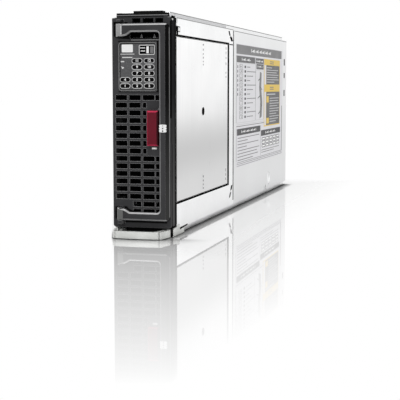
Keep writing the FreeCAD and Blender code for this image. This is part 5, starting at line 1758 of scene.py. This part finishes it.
@dataclass
class Studio:
    """Pale floor, white surroundings, soft lamps and the camera.

    The camera's place is in millimetres, its picture in pixels, and the floor's sizes are in metres.
    """

    camera_place: tuple[float, float, float] = (272.02, -825.49, 121.51)
    camera_turn: float = 15.156
    camera_dip: float = 6.036
    focal: float = 1077.6
    image: float = 400.0
    sensor: float = 36.0
    ambient: float = 0.45
    lamps: tuple[Lamp, ...] = (
        Lamp("key_lamp", (-0.1, -1.8, 0.7), (0.0, -0.2, 0.09), (1.6, 1.6), 12.0),
        Lamp("side_lamp", (1.4, -0.1, 0.7), (0.0, 0.05, 0.09), (1.6, 1.6), 12.0),
        Lamp("top_lamp", (-0.25, -0.25, 1.2), (0.0, -0.2, 0.17), (1.8, 1.8), 3.0),
        Lamp("left_lamp", (-1.3, 0.05, 0.45), (0.0, -0.2, 0.1), (1.6, 1.6), 1.5),
    )
    floor_reach: float = 6.0
    floor_cloud: float = 3.0
    floor_greys: tuple[Colour, Colour] = ((0.86, 0.86, 0.86), (0.88, 0.88, 0.88))
    floor_glow: float = 0.2
    floor_matt: float = 0.75
    footprint: Span = (0.025, 0.2555)
    shadow_span: Span = (0.01, 0.08)
    shadow_edge: tuple[float, float, float] = (-0.9408, -0.3390, 0.1042)
    shadow_cut: float = 60.0
    contact: Span = (0.012, 3.0)
    front_contact: Span = (0.04, 4.0)
    front_strip: Span = (-0.250, -0.240)
    gloss_rough: float = 0.02
    gloss_near: float = 0.54
    gloss_span: Span = (-0.418, -0.05)
    gloss_turn: float = 15.156
    gloss_lean: float = 2.7
    gloss_corner: float = 0.0396
    gloss_curve: float = 0.73

    def build(self) -> None:
        """Sets up everything around the object."""
        bpy.context.scene.view_settings.view_transform = "Standard"
        self.camera()
        self.world()
        self.floor()
        for lamp in self.lamps:
            lamp.build()

    def directions(self) -> tuple[Vector, Vector, Vector]:
        """Directions of the camera.

        Returns:
            Its right, up and forward directions.
        """
        turn = math.radians(self.camera_turn)
        dip = math.radians(self.camera_dip)
        forward = Vector((-math.sin(turn) * math.cos(dip), math.cos(turn) * math.cos(dip), -math.sin(dip)))
        right = Vector((math.cos(turn), math.sin(turn), 0.0))
        return right, right.cross(forward), forward

    def camera(self) -> None:
        """Adds the camera at the photograph's viewpoint."""
        right, up, forward = self.directions()
        x, y, z = self.camera_place
        data = bpy.data.cameras.new("viewpoint")
        data.sensor_width = self.sensor
        data.lens = self.focal * self.sensor / self.image
        camera = bpy.data.objects.new("viewpoint", data)
        turn = Matrix((right, up, -forward)).transposed().to_4x4()
        camera.matrix_world = Matrix.Translation(Vector((x, y + BEZEL_FACE, z)) * MM) @ turn
        bpy.context.scene.collection.objects.link(camera)
        bpy.context.scene.camera = camera

    def seen_directly(self, tree: NodeTree) -> NodeSocket:
        """Value that is 1 for rays that show the surroundings themselves.

        Args:
            tree: Node tree that it is made in.

        Returns:
            Socket of the value.
        """
        path = tree.nodes.new("ShaderNodeLightPath")
        total = path.outputs["Is Camera Ray"]
        for name in ("Is Glossy Ray", "Is Transmission Ray"):
            join = tree.nodes.new("ShaderNodeMath")
            join.operation = "MAXIMUM"
            tree.links.new(total, join.inputs[0])
            tree.links.new(path.outputs[name], join.inputs[1])
            total = join.outputs[0]
        return total

    def world(self) -> None:
        """Makes the surroundings white to look at and softer as light."""
        world = bpy.data.worlds.new("surroundings")
        world.use_nodes = True
        tree = world.node_tree
        tree.nodes.clear()
        output = tree.nodes.new("ShaderNodeOutputWorld")
        light = tree.nodes.new("ShaderNodeBackground")
        light.inputs["Strength"].default_value = self.ambient
        white = tree.nodes.new("ShaderNodeBackground")
        mix = tree.nodes.new("ShaderNodeMixShader")
        for node in (light, white):
            node.inputs["Color"].default_value = WHITE
        tree.links.new(self.seen_directly(tree), mix.inputs["Fac"])
        tree.links.new(light.outputs[0], mix.inputs[1])
        tree.links.new(white.outputs[0], mix.inputs[2])
        tree.links.new(mix.outputs[0], output.inputs["Surface"])
        bpy.context.scene.world = world

    def floor(self) -> None:
        """Adds the pale floor."""
        mesh = bmesh.new()
        bmesh.ops.create_grid(mesh, x_segments=1, y_segments=1, size=self.floor_reach)
        data = bpy.data.meshes.new("studio_floor")
        mesh.to_mesh(data)
        mesh.free()
        data.materials.append(self.floor_material())
        floor = bpy.data.objects.new("studio_floor", data)
        bpy.context.scene.collection.objects.link(floor)

    def along(self, graph: Graph, direction: Vector) -> NodeSocket:
        """Place of a floor point along a level direction.

        Args:
            graph: Graph of the floor.
            direction: Direction to measure in.

        Returns:
            Socket of the distance from the origin, in metres.
        """
        node = graph.add("ShaderNodeVectorMath", operation="DOT_PRODUCT")
        graph.join(graph.place(), node.inputs[0])
        node.inputs[1].default_value = direction
        return node.outputs["Value"]

    def shadow_mask(self, graph: Graph) -> NodeSocket:
        """Mask of the floor that takes the object's shadow, close round its footprint.

        Args:
            graph: Graph of the floor.

        Returns:
            Socket of the mask, which ends at a line left of the front.
        """
        parts = graph.parts(graph.place())
        gaps = [graph.sum("SUBTRACT", graph.sum("ABSOLUTE", parts[axis], 0.0), half)
                for axis, half in zip("XY", self.footprint)]
        *across, offset = self.shadow_edge
        beyond = graph.sum("SUBTRACT", self.along(graph, Vector((*across, 0.0))), offset)
        beyond = graph.sum("MULTIPLY", beyond, self.shadow_cut)
        away = graph.sum("MAXIMUM", graph.sum("MAXIMUM", *gaps), beyond)
        return graph.spread(away, self.shadow_span, FALL)

    def shadowed(self, graph: Graph) -> NodeSocket:
        """Matt white of the floor where it takes shadow.

        Args:
            graph: Graph of the floor.

        Returns:
            Socket of the shader.
        """
        glow = graph.add("ShaderNodeEmission")
        glow.inputs["Strength"].default_value = self.floor_glow
        matt = graph.add("ShaderNodeBsdfDiffuse")
        matt.inputs["Color"].default_value = (self.floor_matt,) * 3 + (1.0,)
        both = graph.add("ShaderNodeAddShader")
        graph.join(glow.outputs[0], both.inputs[0])
        graph.join(matt.outputs[0], both.inputs[1])
        return both.outputs[0]

    def contact_shade(self, graph: Graph, nearby: NodeSocket) -> NodeSocket:
        """Painted contact shadow by ambient occlusion close to the object, least light under the front edge.

        Args:
            graph: Graph of the floor.
            nearby: Mask of the floor that takes shadow.

        Returns:
            Socket of the share.
        """
        front = graph.spread(graph.parts(graph.place())["Y"], self.front_strip, FALL)
        front = graph.sum("MULTIPLY", front, nearby)
        shades = []
        for (distance, power), mask in ((self.contact, nearby), (self.front_contact, front)):
            hidden = graph.add("ShaderNodeAmbientOcclusion", samples=16)
            hidden.inputs["Distance"].default_value = distance
            shades.append(graph.sum("POWER", hidden.outputs["AO"], graph.sum("MULTIPLY", mask, power)))
        return graph.sum("MINIMUM", *shades)

    def gloss_strength(self, graph: Graph) -> NodeSocket:
        """Strength of the floor's gloss, which fades away from the object's front and right.

        Args:
            graph: Graph of the floor.

        Returns:
            Socket of the strength.
        """
        turn = math.radians(self.gloss_turn)
        start = -self.footprint[1]
        side = self.along(graph, Vector((math.cos(turn), math.sin(turn), 0.0)))
        side = graph.sum("SUBTRACT", side, start * math.sin(turn) + self.gloss_corner)
        back = self.along(graph, Vector((-math.sin(turn), math.cos(turn), 0.0)))
        back = graph.sum("SUBTRACT", back, start * math.cos(turn))
        lean = graph.sum("MULTIPLY", graph.sum("MAXIMUM", side, 0.0), self.gloss_lean)
        strength = graph.spread(graph.sum("SUBTRACT", back, lean), self.gloss_span, RISE)
        return graph.sum("MULTIPLY", graph.sum("POWER", strength, self.gloss_curve), self.gloss_near)

    def floor_material(self) -> Material:
        """Builds the floor's white with shadow, gloss and bounce.

        Returns:
            The finished material.
        """
        graph = Graph("studio_floor")
        graph.colour(graph.tint(graph.noise(graph.place(), self.floor_cloud), *self.floor_greys))
        graph.fix(Roughness=0.7)
        nearby = self.shadow_mask(graph)
        white = graph.layer(nearby, graph.add("ShaderNodeEmission").outputs[0], self.shadowed(graph))
        gloss = graph.add("ShaderNodeBsdfGlossy")
        gloss.inputs["Roughness"].default_value = self.gloss_rough
        gloss.inputs["Color"].default_value = WHITE
        shown = graph.layer(self.gloss_strength(graph), white, gloss.outputs[0])
        # Painted contact shadow on the floor
        touched = graph.layer(self.contact_shade(graph, nearby), None, shown)
        whole = graph.layer(self.seen_directly(graph.tree), graph.shader.outputs[0], touched)
        graph.join(whole, graph.output.inputs["Surface"])
        return graph.material


def main() -> None:
    """Dresses the solids, adds the pieces in order and sets up the studio."""
    logging.basicConfig(level=logging.INFO, format="%(message)s")
    WARDROBE.dress_nodes()
    for assembly in (StatusMarks(), HandleMark(), HingeTabs(), BezelFittings(), DarkLinings(), CaseMarks(),
                     LatchSpring(), DriveTops(), OuterMarks(), ServiceLabel(), Studio()):
        assembly.build()
        LOG.info("%s built", type(assembly).__name__)


if __name__ == "__main__":
    main()
